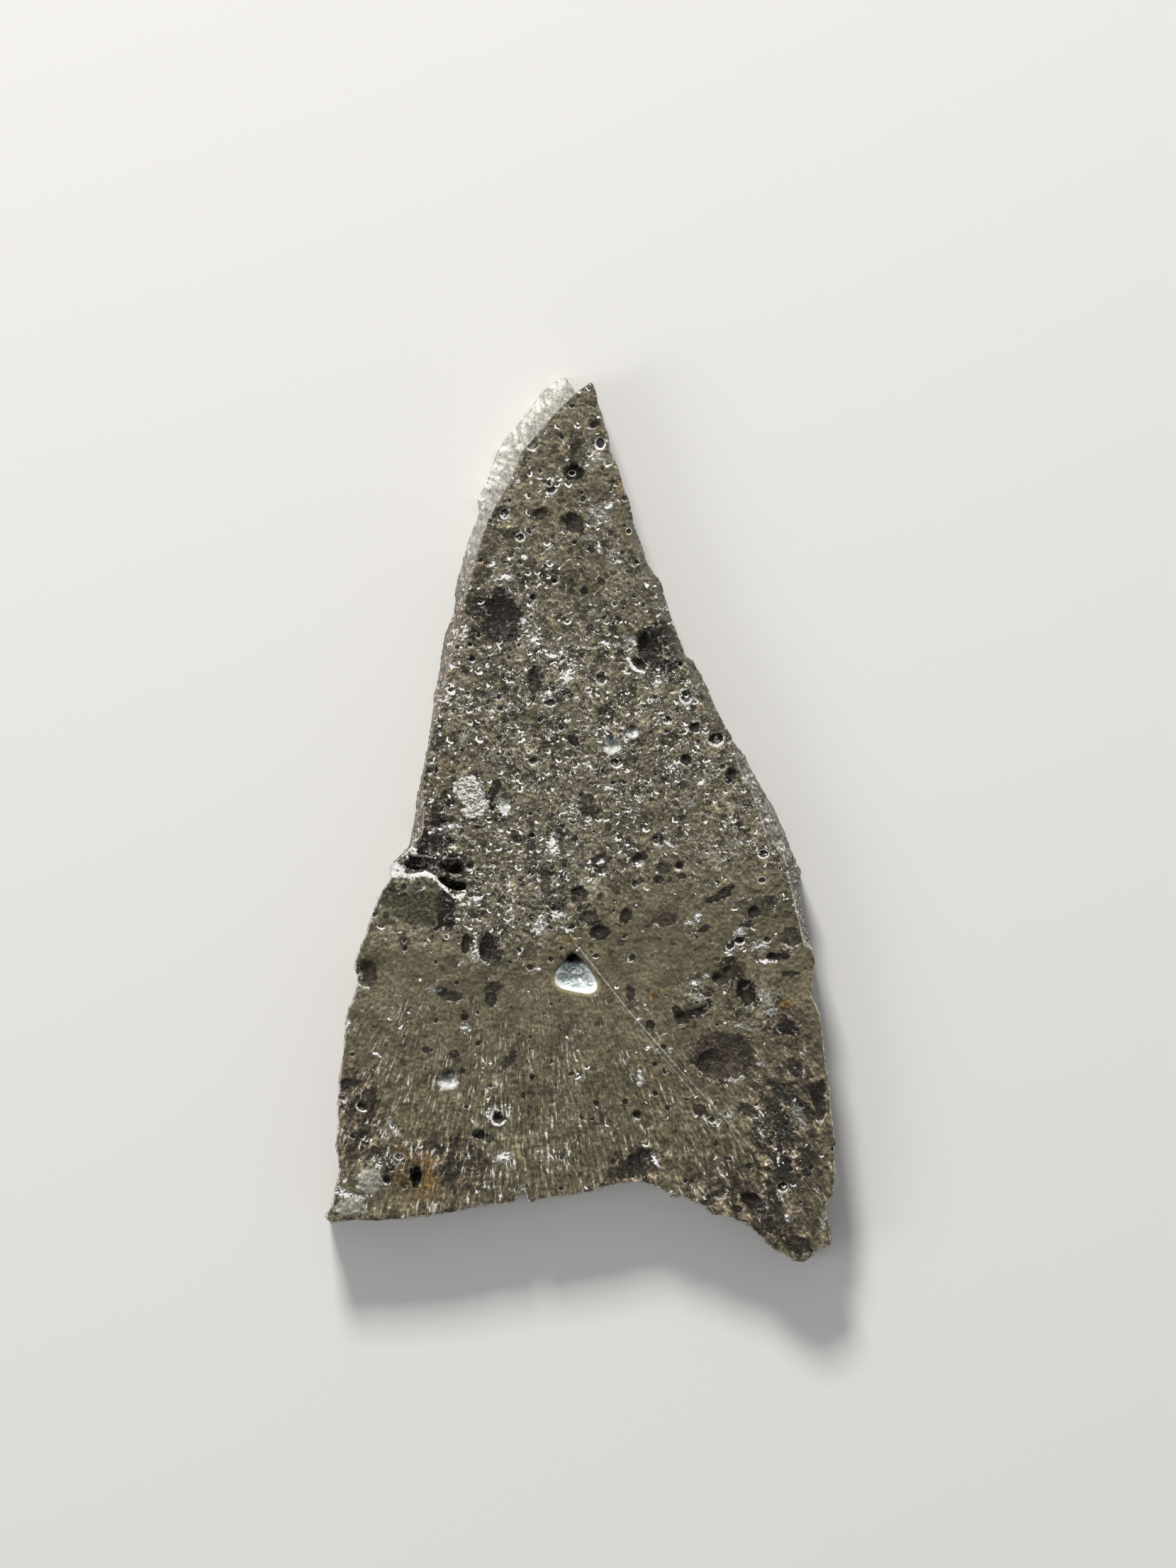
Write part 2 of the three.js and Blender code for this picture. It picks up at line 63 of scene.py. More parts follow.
faceMarks = {
    # dark clasts, and black painted shade where a mark lies on a hollow of the solid
    "darkClasts": [  # the value is how dark one is: 1 is black
        (-2.2, 5.71, 0.54, 0.7, 0.8, 8), (-0.16, 8.35, 0.28, 0.36, 0.8, 25),
        (-1.9, 8.1, 0.24, 0.14, 0.6, 20), (-1.12, 8.61, 0.2, 0.15, 0.7), (1.94, 4.88, 0.32, 0.4, 1.0),
        (1.95, 5.28, 0.4, 0.14, 0.9, 10), (-1.3, 3.97, 0.18, 0.4, 0.7), (-3.02, 5.85, 0.2, 0.15, 0.8),
        (0.12, 6.45, 0.11, 0.12, 1.0), (0.33, 7.6, 0.1, 0.08, 0.9), (0.7, 7.76, 0.14, 0.09, 0.7, -20),
        (2.6, 4.35, 0.16, 0.09, 0.9, -15), (1.1, 5.65, 0.11, 0.08, 0.9), (1.25, 6.1, 0.14, 0.09, 0.7),
        (0.3, 5.42, 0.09, 0.14, 0.8, 20), (-0.4, 3.62, 0.16, 0.08, 0.9), (-2.35, 8.7, 0.18, 0.22, 0.6),
        (0.6, 6.7, 0.12, 0.1, 0.7), (1.28, -2.71, 0.16, 0.24, 0.9, -25), (2.2, -1.7, 0.14, 0.12, 0.9),
        (1.7, -1.75, 0.15, 0.1, 0.6, 30), (2.85, -1.6, 0.13, 0.09, 0.8), (1.75, -1.05, 0.18, 0.12, 0.8),
        (2.4, -2.82, 0.36, 0.22, 0.4), (3.52, -3.08, 0.18, 0.1, 0.8, 25), (4.12, -2.08, 0.16, 0.15, 0.9),
        (3.82, -2.24, 0.26, 0.1, 0.9, 15), (4.25, -1.88, 0.11, 0.07, 0.8), (4.9, -2.62, 0.18, 0.17, 0.9),
        (5.4, -2.28, 0.2, 0.16, 0.5), (4.7, -3.0, 0.18, 0.07, 0.7), (5.4, -3.87, 0.17, 0.12, 1.0),
        (5.95, -3.3, 0.3, 0.3, 0.55), (5.8, -3.85, 0.14, 0.1, 0.9), (4.2, -3.97, 0.2, 0.1, 0.8),
        (4.32, -4.25, 0.22, 0.14, 0.7), (3.98, -4.46, 0.24, 0.26, 0.75),
        (4.7, -4.87, 0.28, 0.38, 1.0, 10), (5.95, -4.36, 0.25, 0.09, 0.6),
        (5.85, -5.86, 0.3, 0.22, 0.95), (2.85, -5.6, 0.24, 0.2, 0.8), (3.35, -5.42, 0.32, 0.1, 0.9, 10),
        (3.62, -5.26, 0.1, 0.08, 1.0), (2.7, -5.36, 0.12, 0.1, 0.8), (3.6, -4.95, 0.13, 0.08, 0.8),
        (1.98, -5.78, 0.13, 0.12, 0.9), (4.5, -6.2, 0.1, 0.1, 0.9), (2.35, -6.42, 0.1, 0.08, 0.9),
        (4.02, -6.7, 0.84, 0.66, 0.3), (3.6, -7.0, 0.34, 0.24, 0.7), (1.42, -4.9, 0.14, 0.2, 0.6),
        (2.1, -6.9, 0.09, 0.08, 0.9), (-3.8, -2.58, 0.28, 0.52, 1.0),
        (-2.64, -3.6, 0.22, 0.42, 0.95, -10), (-3.22, -3.5, 0.13, 0.3, 0.9),
        (-2.32, -3.8, 0.17, 0.16, 0.6), (-0.96, -1.8, 0.2, 0.48, 0.5), (-0.02, -2.15, 0.26, 0.24, 0.7),
        (0.26, -2.74, 0.26, 0.18, 0.55), (0.54, -3.18, 0.3, 0.2, 0.9),
        (-0.24, -3.06, 0.14, 0.07, 0.7, 15), (-2.35, -4.7, 0.2, 0.12, 0.7),
        (-2.5, -5.05, 0.17, 0.24, 0.85), (-3.25, -5.57, 0.1, 0.1, 1.0), (-3.88, -4.85, 0.17, 0.1, 0.9),
        (-3.6, -5.0, 0.3, 0.14, 0.55), (-1.75, -0.55, 0.16, 0.1, 0.8), (-1.38, -0.6, 0.14, 0.3, 0.5),
        (0.6, -1.14, 0.26, 0.15, 0.6), (0.25, 0.35, 0.28, 0.34, 0.5),
        (-2.45, 0.75, 0.15, 0.42, 0.95, -28), (-4.05, -0.1, 0.32, 0.08, 1.0, 8),
        (-4.46, -0.75, 0.15, 0.3, 1.0), (-4.08, -0.62, 0.22, 0.28, 0.8, -40),
        (-6.5, -7.42, 0.36, 0.1, 0.7), (-6.74, -7.9, 0.17, 0.2, 0.95), (-3.3, -7.1, 0.11, 0.08, 0.8),
        (-3.55, -6.6, 0.15, 0.12, 0.7), (-4.3, -6.5, 0.13, 0.1, 0.7), (-2.84, -8.9, 0.18, 0.16, 0.95),
        (-2.58, -9.02, 0.14, 0.12, 0.8), (-3.9, -9.85, 0.11, 0.13, 0.8), (-5.35, -9.85, 0.15, 0.1, 0.9),
        (1.74, -9.69, 0.46, 0.4, 0.7, 30), (4.84, -10.75, 0.38, 0.18, 0.85, -20),
        (-6.0, -4.36, 0.3, 0.4, 0.6), (-4.06, 0.15, 0.14, 0.38, 0.7), (3.36, -8.2, 0.2, 0.16, 0.6),
        (3.24, 2.57, 0.16, 0.14, 1.0), (3.0, 1.67, 0.2, 0.18, 0.9), (4.28, 1.27, 0.2, 0.17, 0.9),
        (-0.17, 2.25, 0.14, 0.18, 1.0, 20), (-0.19, 9.8, 0.3, 0.22, 1.0),
        (-4.62, -10.05, 0.17, 0.34, 1.0), (-1.36, -7.27, 0.09, 0.08, 1.0), (-1.6, -7.8, 0.07, 0.1, 1.0),
        (1.28, -7.97, 0.1, 0.09, 1.0), (0.46, -7.99, 0.09, 0.08, 1.0), (2.48, -8.13, 0.08, 0.08, 1.0),
        (-2.0, -6.8, 0.14, 0.3, 0.6, -35), (6.72, -7.65, 0.24, 0.3, 0.9), (6.8, -8.2, 0.15, 0.34, 0.7),
        (6.39, -9.96, 0.14, 0.12, 0.8), (4.75, -8.2, 0.32, 0.15, 0.5, -35),
        (6.15, -12.0, 0.42, 0.24, 0.7, -20), (5.4, -11.5, 0.34, 0.2, 0.6, -40),
        (1.2, -9.95, 0.5, 0.2, 0.6, 10), (6.1, -7.0, 0.2, 0.3, 0.6, 20), (5.7, -8.6, 0.16, 0.3, 0.6, 25),
    ],
    "paleSpar": [  # the value is how white one is
        (-2.16, 6.81, 0.32, 0.13, 0.9, 8), (-3.28, 5.27, 0.13, 0.25, 0.9),
        (-1.26, 5.05, 0.2, 0.22, 0.9, -20), (-0.8, 4.6, 0.22, 0.1, 0.9),
        (-0.32, 4.07, 0.18, 0.38, 1.0, -25), (-2.42, 3.53, 0.16, 0.1, 0.8), (-1.56, 7.4, 0.1, 0.09, 0.9),
        (-0.86, 7.06, 0.1, 0.07, 0.8), (0.95, 7.34, 0.22, 0.24, 0.35), (0.6, 8.62, 0.32, 0.26, 0.6),
        (0.86, 8.85, 0.1, 0.11, 0.9), (0.3, 7.95, 0.18, 0.09, 0.7), (0.72, 4.98, 0.2, 0.08, 0.9, -25),
        (2.14, 3.86, 0.15, 0.14, 0.8), (-0.9, 3.45, 0.22, 0.14, 1.0), (1.4, 5.05, 0.2, 0.14, 0.7),
        (-1.6, 5.6, 0.11, 0.14, 0.8), (-2.05, 9.6, 0.3, 0.1, 0.9, -20), (-3.28, 2.29, 0.12, 0.16, 0.7),
        (0.37, 10.22, 0.2, 0.28, 0.6), (2.64, 1.47, 0.18, 0.14, 0.7), (3.4, 1.05, 0.16, 0.14, 0.8),
        (3.1, 0.41, 0.2, 0.1, 0.7), (-0.76, -0.72, 0.15, 0.32, 1.0), (-0.74, -0.92, 0.22, 0.1, 1.0),
        (-3.65, -0.2, 0.3, 0.07, 1.0, 8), (-4.15, -0.33, 0.13, 0.05, 1.0),
        (0.62, -1.2, 0.13, 0.1, 0.9, 35), (0.8, 0.86, 0.16, 0.06, 0.9), (-0.55, -2.7, 0.18, 0.08, 1.0),
        (-1.12, -3.05, 0.24, 0.26, 0.8), (-0.36, -3.12, 0.16, 0.08, 0.9, -15),
        (-2.95, -3.52, 0.07, 0.34, 0.9), (-2.98, -3.85, 0.14, 0.09, 0.9), (-2.9, -2.26, 0.13, 0.14, 0.9),
        (-3.32, -2.42, 0.14, 0.06, 1.0), (-4.2, -4.8, 0.2, 0.1, 0.7, -20),
        (-1.2, -4.22, 0.09, 0.07, 1.0), (-3.24, -5.9, 0.15, 0.12, 1.0), (-6.55, -5.8, 0.1, 0.18, 0.9),
        (-5.36, -8.55, 0.1, 0.28, 0.7, 20), (-6.42, -4.7, 0.25, 0.16, 0.6),
        (-6.9, -10.42, 0.2, 0.13, 1.0, 10), (-6.2, -10.68, 0.2, 0.08, 0.8),
        (-6.66, -10.57, 0.2, 0.14, 1.0), (-2.15, -9.55, 0.3, 0.16, 0.9, 15),
        (-3.74, 3.45, 0.1, 0.2, 1.0, -20), (-0.75, 0.83, 0.09, 0.07, 1.0),
        (-0.77, 9.57, 0.06, 0.06, 1.0), (-2.52, -8.36, 0.12, 0.2, 1.0, 20),
        (3.12, -2.9, 0.22, 0.09, 1.0), (3.34, -2.74, 0.1, 0.16, 0.9), (4.52, -3.16, 0.2, 0.14, 0.8),
        (4.2, -3.77, 0.16, 0.06, 0.9), (5.15, -3.58, 0.18, 0.09, 0.9), (5.28, -4.02, 0.26, 0.07, 1.0),
        (5.9, -1.06, 0.1, 0.14, 0.8), (5.9, -1.56, 0.08, 0.22, 0.8), (5.2, -4.95, 0.18, 0.26, 0.6, 30),
        (5.4, -5.42, 0.22, 0.12, 0.7), (1.93, -6.45, 0.13, 0.09, 1.0), (2.6, -0.76, 0.2, 0.08, 0.8, -20),
        (3.56, -4.4, 0.1, 0.08, 0.8), (3.28, -4.6, 0.2, 0.1, 0.6), (3.35, -5.0, 0.15, 0.12, 0.6),
        (4.5, -5.82, 0.26, 0.1, 0.6, -20), (1.68, -5.62, 0.1, 0.08, 0.9), (2.55, -6.5, 0.06, 0.11, 0.8),
        (1.68, -7.27, 0.09, 0.28, 0.9), (4.24, -8.35, 0.16, 0.2, 0.6), (2.5, -10.6, 0.4, 0.12, 0.5),
        (4.45, -0.65, 0.2, 0.09, 0.7), (5.1, -6.9, 0.14, 0.08, 0.8), (1.7, -7.3, 0.12, 0.2, 0.7),
        (2.12, -9.62, 0.08, 0.26, 1.0, 25), (2.56, -10.56, 0.12, 0.12, 1.0), (5.6, -9.6, 0.05, 0.2, 0.9),
        (5.84, -11.25, 0.08, 0.2, 0.9, 20), (6.86, -11.4, 0.1, 0.25, 0.7),
        (6.2, -8.4, 0.16, 0.5, 0.5, 25),
    ],
    "vesicles": [  # the value is how far the white rim goes round: 0 is below only, -1 a thick glassy slope
        (-3.7, -7.35, 0.25, 0.25, -1), (-6.14, -8.13, 0.17, 0.13, 0, -20), (-2.3, -8.45, 0.2, 0.2),
        (1.66, 4.36, 0.26, 0.2, 0, -30), (1.48, 2.47, 0.17, 0.17, -1), (0.92, 2.12, 0.22, 0.26, -1),
        (1.04, 1.6, 0.17, 0.17), (2.48, 2.79, 0.13, 0.13, 0.2), (3.84, 2.25, 0.22, 0.2, 0.2),
        (3.0, 3.45, 0.17, 0.2, 1), (-0.8, 9.31, 0.17, 0.13, 0, 20), (-0.84, 3.28, 0.17, 0.12, 0.6),
        (4.5, -3.43, 0.15, 0.12, 1), (4.22, -3.61, 0.1, 0.1, 1), (5.28, -3.41, 0.12, 0.1),
        (5.18, -0.99, 0.15, 0.12, 0.8), (5.72, -10.39, 0.16, 0.16, 0.2), (-1.68, 7.95, 0.13, 0.12, 0.9),
        (-2.12, 8.62, 0.12, 0.16, 0.4), (4.02, 1.47, 0.1, 0.1, 0.5), (1.46, -3.92, 0.09, 0.15, 0, -30),
        (-3.76, -3.33, 0.07, 0.07, 1), (-5.1, -9.53, 0.12, 0.1, 0.4), (-0.6, -2.58, 0.1, 0.1, 0.1),
        (3.74, -8.49, 0.1, 0.1, 0.3), (0.45, -3.87, 0.09, 0.08), (0.6, 3.97, 0.15, 0.2, 0.4),
        (0.76, 2.42, 0.09, 0.09, 1), (-0.22, 9.76, 0.1, 0.08, 1), (-0.24, -3.06, 0.13, 0.06, 0.9, 15),
        (5.14, -1.73, 0.12, 0.1, 0.5), (-2.12, 0.47, 0.15, 0.27, -1), (0.98, 6.07, 0.08, 0.08, 0.8),
        (1.38, 8.11, 0.08, 0.1, 0.9), (-2.82, 7.3, 0.1, 0.1, 0.5),
    ],
    "rust": [
        (-4.52, -10.1, 0.8, 1.0), (-3.72, 1.45, 0.14, 0.14), (-2.76, 7.25, 0.24, 0.2),
        (1.1, 9.45, 0.16, 0.3), (1.36, 8.05, 0.16, 0.14), (2.12, -5.0, 0.14, 0.3, 0, -30),
        (-5.0, -9.4, 0.4, 0.3), (-0.3, -3.42, 0.3, 0.14), (5.85, -5.2, 0.2, 0.2),
    ],
    "shaded": [  # browner and darker areas of the matrix
        (5.8, -8.6, 1.3, 2.6), (4.7, -10.9, 2.2, 1.1, 0, -25), (1.6, -9.8, 1.2, 0.7, 0, 10),
        (5.8, -5.8, 0.8, 0.9), (4.0, -6.7, 1.1, 0.9), (-6.3, -8.4, 0.9, 1.6), (-4.4, -0.6, 1.0, 0.7),
        (-2.3, 5.6, 0.9, 1.0), (-3.6, -9.6, 1.2, 1.0), (2.4, 4.9, 0.8, 0.9),
    ],
    "tipHole": [  # the walls and the rim of the through hole
        (0.58, 10.6, 0.17, 0.21),
    ],
    "domes": [  # smooth pale grains that stand out of the broken corner
        (-5.97, -10.22, 0.44, 0.38, 0, 10), (-6.45, -10.95, 0.5, 0.3),
    ],
    "sparkling": [  # islands full of flecks in the clear part
        (5.0, -5.3, 1.2, 1.1), (3.3, -4.9, 0.7, 0.5), (4.7, -3.6, 0.9, 0.5), (-6.3, -4.8, 0.5, 0.5),
        (-1.2, -3.1, 0.6, 0.5), (-2.9, -3.6, 0.5, 0.6), (-5.4, -9.6, 1.2, 1.2), (5.6, -9.0, 1.2, 2.0),
    ],
}

# The stone is full of flecks above this line and clear below it: x and y of its corners

clearLine = [(-7, -3.0), (-4, -3.2), (-2.2, -4.2), (-1, -3.5), (0, -2.7), (1, -1.9), (2, -1.4), (3.5, -1.3),
             (5, -1.7), (7, -1.5)]

# Outlines of the larger things, anticlockwise

faceOutlines = {
    "glassy": [
        (-0.24, -3.8), (-0.52, -4.1), (-0.72, -4.44), (-0.62, -4.72), (-0.2, -4.87), (0.32, -4.92),
        (0.5, -4.72), (0.38, -4.4), (0.14, -4.06), (-0.06, -3.84),
    ],
    "feldspar": [
        (-3.0, 1.22), (-3.3, 1.16), (-3.62, 1.02), (-3.56, 0.78), (-3.4, 0.6), (-3.26, 0.4), (-3.3, 0.14),
        (-3.0, 0.08), (-2.6, 0.26), (-2.52, 0.42), (-2.72, 0.8), (-2.84, 1.02),
    ],
    "torn": [
        (-4.2, -1.0), (-4.7, -1.06), (-4.98, -1.25), (-4.95, -1.48), (-4.6, -1.55), (-4.1, -1.5),
        (-3.8, -1.62), (-3.5, -1.72), (-3.26, -1.68), (-3.22, -1.3), (-3.45, -1.08), (-3.8, -1.14),
    ],
    "oliveClast": [
        (-4.0, -2.1), (-4.6, -1.98), (-5.1, -2.12), (-5.5, -2.05), (-5.66, -2.4), (-5.3, -2.75),
        (-4.7, -3.0), (-4.1, -3.0), (-3.96, -2.6),
    ],
}

# Lines of crushed white powder: half width, then the points that the line goes through

powderLines = [
    (0.13, [(-5.36, -1.42), (-5.2, -1.3), (-5.02, -1.42)]),
    (0.08, [(-5.32, -1.56), (-4.98, -1.6), (-4.7, -1.6), (-4.45, -1.54), (-4.2, -1.58)]),
    (0.06, [(-4.2, -1.58), (-4.0, -1.76), (-3.82, -1.94), (-3.66, -2.06), (-3.5, -2.2)]),
    (0.08, [(-3.55, -2.16), (-3.4, -2.22), (-3.26, -2.08)]),
    (0.04, [(-4.66, -1.02), (-4.4, -1.04), (-4.1, -1.08), (-3.6, -1.12), (-3.36, -1.08)]),
    (0.08, [(-5.0, -1.0), (-4.75, -0.86), (-4.64, -0.96)]),
    (0.045, [(1.3, 4.62), (1.4, 4.42), (1.58, 4.22), (1.78, 4.13), (1.9, 4.2)]),
    (0.025, [(-2.95, -6.62), (-2.74, -6.78), (-2.68, -7.0), (-2.76, -7.2)]),
    (0.02, [(-5.85, -6.6), (-5.7, -6.62), (-5.58, -6.8), (-5.5, -6.88)]),
    (0.05, [(-0.5, -1.52), (-0.32, -1.74), (-0.12, -1.84), (-0.02, -1.76)]),
    (0.035, [(-2.28, 0.42), (-2.2, 0.2), (-2.1, 0.1), (-2.0, 0.24), (-1.98, 0.42)]),
    (0.05, [(-3.72, 4.42), (-3.6, 4.25), (-3.42, 4.3)]),
    (0.03, [(0.74, 10.8), (0.77, 10.62), (0.7, 10.48)]),
    (0.03, [(0.42, 10.55), (0.44, 10.38), (0.52, 10.3)]),
]

# Straight scratches: from x, y to x, y and the half width

scratches = [
    (-0.28, -3.23, -0.06, -3.62, 0.018),
    (0.0, -3.66, 1.36, -5.39, 0.014),
    (1.36, -5.39, 2.84, -7.09, 0.013),
    (2.84, -7.09, 4.94, -9.39, 0.009),
    (-1.12, 7.43, -0.74, 7.75, 0.02),
    (1.7, -5.95, 3.3, -7.85, 0.008),
]


# Shader and geometry maths as expressions

class Wire:
    # a socket that can be used like a number
    def __init__(self, graph, socket):
        self.graph = graph
        self.socket = socket

    def __add__(self, other):
        return self.graph.math("ADD", self, other)

    def __radd__(self, other):
        return self.graph.math("ADD", other, self)

    def __sub__(self, other):
        return self.graph.math("SUBTRACT", self, other)

    def __rsub__(self, other):
        return self.graph.math("SUBTRACT", other, self)

    def __mul__(self, other):
        return self.graph.math("MULTIPLY", self, other)

    def __rmul__(self, other):
        return self.graph.math("MULTIPLY", other, self)

    def __truediv__(self, other):
        return self.graph.math("DIVIDE", self, other)

    def __rtruediv__(self, other):
        return self.graph.math("DIVIDE", other, self)

    def __pow__(self, other):
        return self.graph.math("POWER", self, other)

    def __neg__(self):
        return self.graph.math("MULTIPLY", self, -1.0)

    def __abs__(self):
        return self.graph.math("ABSOLUTE", self)


class Graph:
    def __init__(self, tree):
        self.tree = tree

    def node(self, kind, settings=None, inputs=None, output=0):
        made = self.tree.nodes.new(kind)
        for name, value in (settings or {}).items():
            setattr(made, name, value)
        for key, value in (inputs or {}).items():
            self.plug(self.find(made.inputs, key), value)
        return Wire(self, self.find(made.outputs, output))

    def find(self, sockets, key):
        if isinstance(key, int):
            return sockets[key]
        return next(s for s in sockets if s.enabled and s.name == key)

    def plug(self, socket, value):
        if isinstance(value, Wire):
            self.tree.links.new(value.socket, socket)
        elif socket.type == "RGBA":
            socket.default_value = (*value, 1.0)
        else:
            socket.default_value = value

    def math(self, operation, *values):
        return self.node("ShaderNodeMath", {"operation": operation}, dict(enumerate(values)))

    def both(self, a, b):
        return self.math("MAXIMUM", a, b)

    def vector(self, operation, *values, output="Vector"):
        return self.node("ShaderNodeVectorMath", {"operation": operation}, dict(enumerate(values)), output)

    def scaled(self, vector, amount):
        return self.node("ShaderNodeVectorMath", {"operation": "SCALE"}, {0: vector, "Scale": amount})

    def step(self, value, low, high, start=0.0, end=1.0):
        # a soft step from start to end as value goes from low to high
        return self.node("ShaderNodeMapRange", {"interpolation_type": "SMOOTHSTEP"},
                         {0: value, 1: low, 2: high, 3: start, 4: end})

    def mix(self, factor, a, b):
        return self.node("ShaderNodeMix", {"data_type": "RGBA"}, {"Factor": factor, "A": a, "B": b}, "Result")

    def noise(self, place, scale, detail=2.0, roughness=0.5, distortion=0.0):
        return self.node("ShaderNodeTexNoise", None, {
            "Vector": place, "Scale": scale, "Detail": detail,
            "Roughness": roughness, "Distortion": distortion})

    def split(self, vector):
        made = self.node("ShaderNodeSeparateXYZ", None, {0: vector}).socket.node
        return [Wire(self, socket) for socket in made.outputs]

    def join(self, x, y, z):
        return self.node("ShaderNodeCombineXYZ", None, {0: x, 1: y, 2: z})


scatteredPits = {
    "cellsPerMm": 1.7,
    "radius": 0.15,  # mm
    "share": 0.12,  # of the cells that hold a pit where the stone is full of them
    "seed": 3.1,
    "depth": 0.12,  # mm
}


def cellSpots(g, place, scale, seed):
    # one spot in each cell of the face: its offset from the spot's middle and three random numbers
    flat = g.vector("MULTIPLY", place, (1.0, 1.0, 0.0))
    moved = g.vector("ADD", flat, (seed, seed * 1.7, 0.0))
    cell = g.node("ShaderNodeTexVoronoi", {"voronoi_dimensions": "2D"}, {"Vector": moved, "Scale": scale},
                  "Position").socket.node
    middle = Wire(g, cell.outputs["Position"])
    x, y, _ = g.split(g.vector("SUBTRACT", moved, middle))
    chance, size, turn = g.split(Wire(g, cell.outputs["Color"]))
    return x, y, chance, size, turn


def vesicleSpots(g, place, density):
    # round pits too many to place one by one: how deep inside one a point is, and a painted highlight on its
    # lower rim
    x, y, chance, size, _ = cellSpots(g, place, scatteredPits["cellsPerMm"], scatteredPits["seed"])
    radius = scatteredPits["radius"] * (0.45 + 0.9 * size * size)
    reach = (x * x + y * y) ** 0.5 / radius
    chosen = g.step(density * scatteredPits["share"] - chance, 0.0, 0.02)
    inside = g.step(reach, 1.08, 0.55) * chosen
    crescent = g.step(abs(reach - 0.85), 0.35, 0.1) * g.step(y / radius, -0.1, -0.8) * chosen
    return inside, crescent


def roundGrains(g, place, kind, share, ragged):
    # rounded grains of the rock: how far from its middle a point is, whether the cell has one, and its tone
    x, y, chance, size, tone = cellSpots(g, place, kind["perMm"], kind["seed"])
    reach = (x * x + y * y) ** 0.5 / (kind["radius"] * (0.45 + size * 0.85)) + ragged * 0.35
    chosen = g.step(share - chance, 0.0, 0.02)
    return reach, chosen, tone


# The outline of the sawn face, read from the solid

def readSolid(node):
    bm = bmesh.new()
    bm.from_mesh(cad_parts[node].data)
    bmesh.ops.scale(bm, vec=(1 / mm, 1 / mm, 1 / mm), verts=bm.verts)
    bmesh.ops.remove_doubles(bm, verts=bm.verts, dist=0.0005)
    bmesh.ops.recalc_face_normals(bm, faces=bm.faces)
    return bm


def faceOutline(bm, top):
    def onFace(face):
        return face.normal.z > 0.99 and min(v.co.z for v in face.verts) > top - 0.002

    neighbours = {}
    for edge in bm.edges:
        if len(edge.link_faces) == 2 and onFace(edge.link_faces[0]) != onFace(edge.link_faces[1]):
            a, b = edge.verts
            neighbours.setdefault(a, []).append(b)
            neighbours.setdefault(b, []).append(a)
    loops = []
    unused = dict.fromkeys(neighbours)  # keeps its order, so that each run starts at the same corner
    while unused:
        here = next(iter(unused))
        del unused[here]
        loop = [here]
        while True:
            ahead = [v for v in neighbours[here] if v in unused]
            if not ahead:
                break
            here = ahead[0]
            del unused[here]
            loop.append(here)
        loops.append(np.array([v.co.xy for v in loop]))
    return max(loops, key=lambda loop: np.ptp(loop[:, 1]))


def edgeFields(points, outline):
    # for each point: how far it is inside the face's outline, and how far along that outline
    start = outline
    span = np.roll(outline, -1, 0) - outline
    length = np.maximum(np.hypot(*span.T), 1e-9)
    before = np.concatenate([[0], np.cumsum(length)[:-1]])
    distance = np.empty(len(points))
    along = np.empty(len(points))
    chunk = 20000
    for first in range(0, len(points), chunk):
        p = points[first:first + chunk, None, :2]
        t = np.clip(((p - start) * span).sum(2) / length ** 2, 0, 1)
        gap = p - (start + t[..., None] * span)
        far = np.hypot(gap[..., 0], gap[..., 1])
        nearest = far.argmin(1)
        rows = np.arange(len(nearest))
        y = p[..., 1]
        crosses = (start[:, 1] > y) != (start[:, 1] + span[:, 1] > y)
        slope = span[:, 0] / np.where(span[:, 1] == 0, 1e-9, span[:, 1])
        leftOf = p[..., 0] < start[:, 0] + slope * (y - start[:, 1])
        inside = (crosses & leftOf).sum(1) % 2 == 1
        distance[first:first + chunk] = np.where(inside, far[rows, nearest], -far[rows, nearest])
        along[first:first + chunk] = before[nearest] + t[rows, nearest] * length[nearest]
    return distance, along


def within(points, mark):
    # place inside a mark, as parts of its half width and half height
    x, y, wide, high = mark[:4]
    turn = math.radians(mark[5] if len(mark) > 5 else 0)
    dx = points[:, 0] - x
    dy = points[:, 1] - y
    u = (dx * math.cos(turn) + dy * math.sin(turn)) / wide
    v = (dy * math.cos(turn) - dx * math.sin(turn)) / high
    return u, v


def markField(points, marks):
    # 1 in the middle of a mark, 0 on its edge and down to -1 outside, whichever mark is nearest
    field = np.full(len(points), -1.0)
    for mark in marks:
        field = np.maximum(field, 1 - np.hypot(*within(points, mark)))
    return field


def nearestMark(points, marks):
    # the place inside the nearest mark and that mark's value, which stay sharp between the vertices
    best = np.full(len(points), 1e9)
    found = np.zeros((len(points), 3))
    for mark in marks:
        u, v = within(points, mark)
        reach = np.hypot(u, v)
        closer = reach < best
        best[closer] = reach[closer]
        value = mark[4] if len(mark) > 4 else 0
        found[closer] = np.stack([u, v, np.full(len(u), value)], 1)[closer]
    return found


def roundedOutline(corners, steps=5):
    # a closed curve through the corners
    corners = np.array(corners)
    before, here, after, beyond = [np.roll(corners, shift, 0)[:, None] for shift in (1, 0, -1, -2)]
    t = (np.arange(steps) / steps)[None, :, None]
    curve = 0.5 * (2 * here + (after - before) * t + (2 * before - 5 * here + 4 * after - beyond) * t ** 2
                   + (3 * here - before - 3 * after + beyond) * t ** 3)
    return curve.reshape(-1, 2)


def sparkleField(points):
    # 1 where the stone is full of flecks, and less where it is clear
    above = points[:, 1] - np.interp(points[:, 0], *zip(*clearLine))
    softness = np.interp(points[:, 0], (0, 2), (1.4, 3.6))
    field = 0.2 + 0.8 * np.clip(above / softness + 0.5, 0, 1) - 0.3 * np.clip((points[:, 1] - 5) / 2, 0, 1)
    islands = np.clip(markField(points, faceMarks["sparkling"]) * 1.2, 0, 1)
    return np.maximum(field, 0.2 + 0.75 * islands)


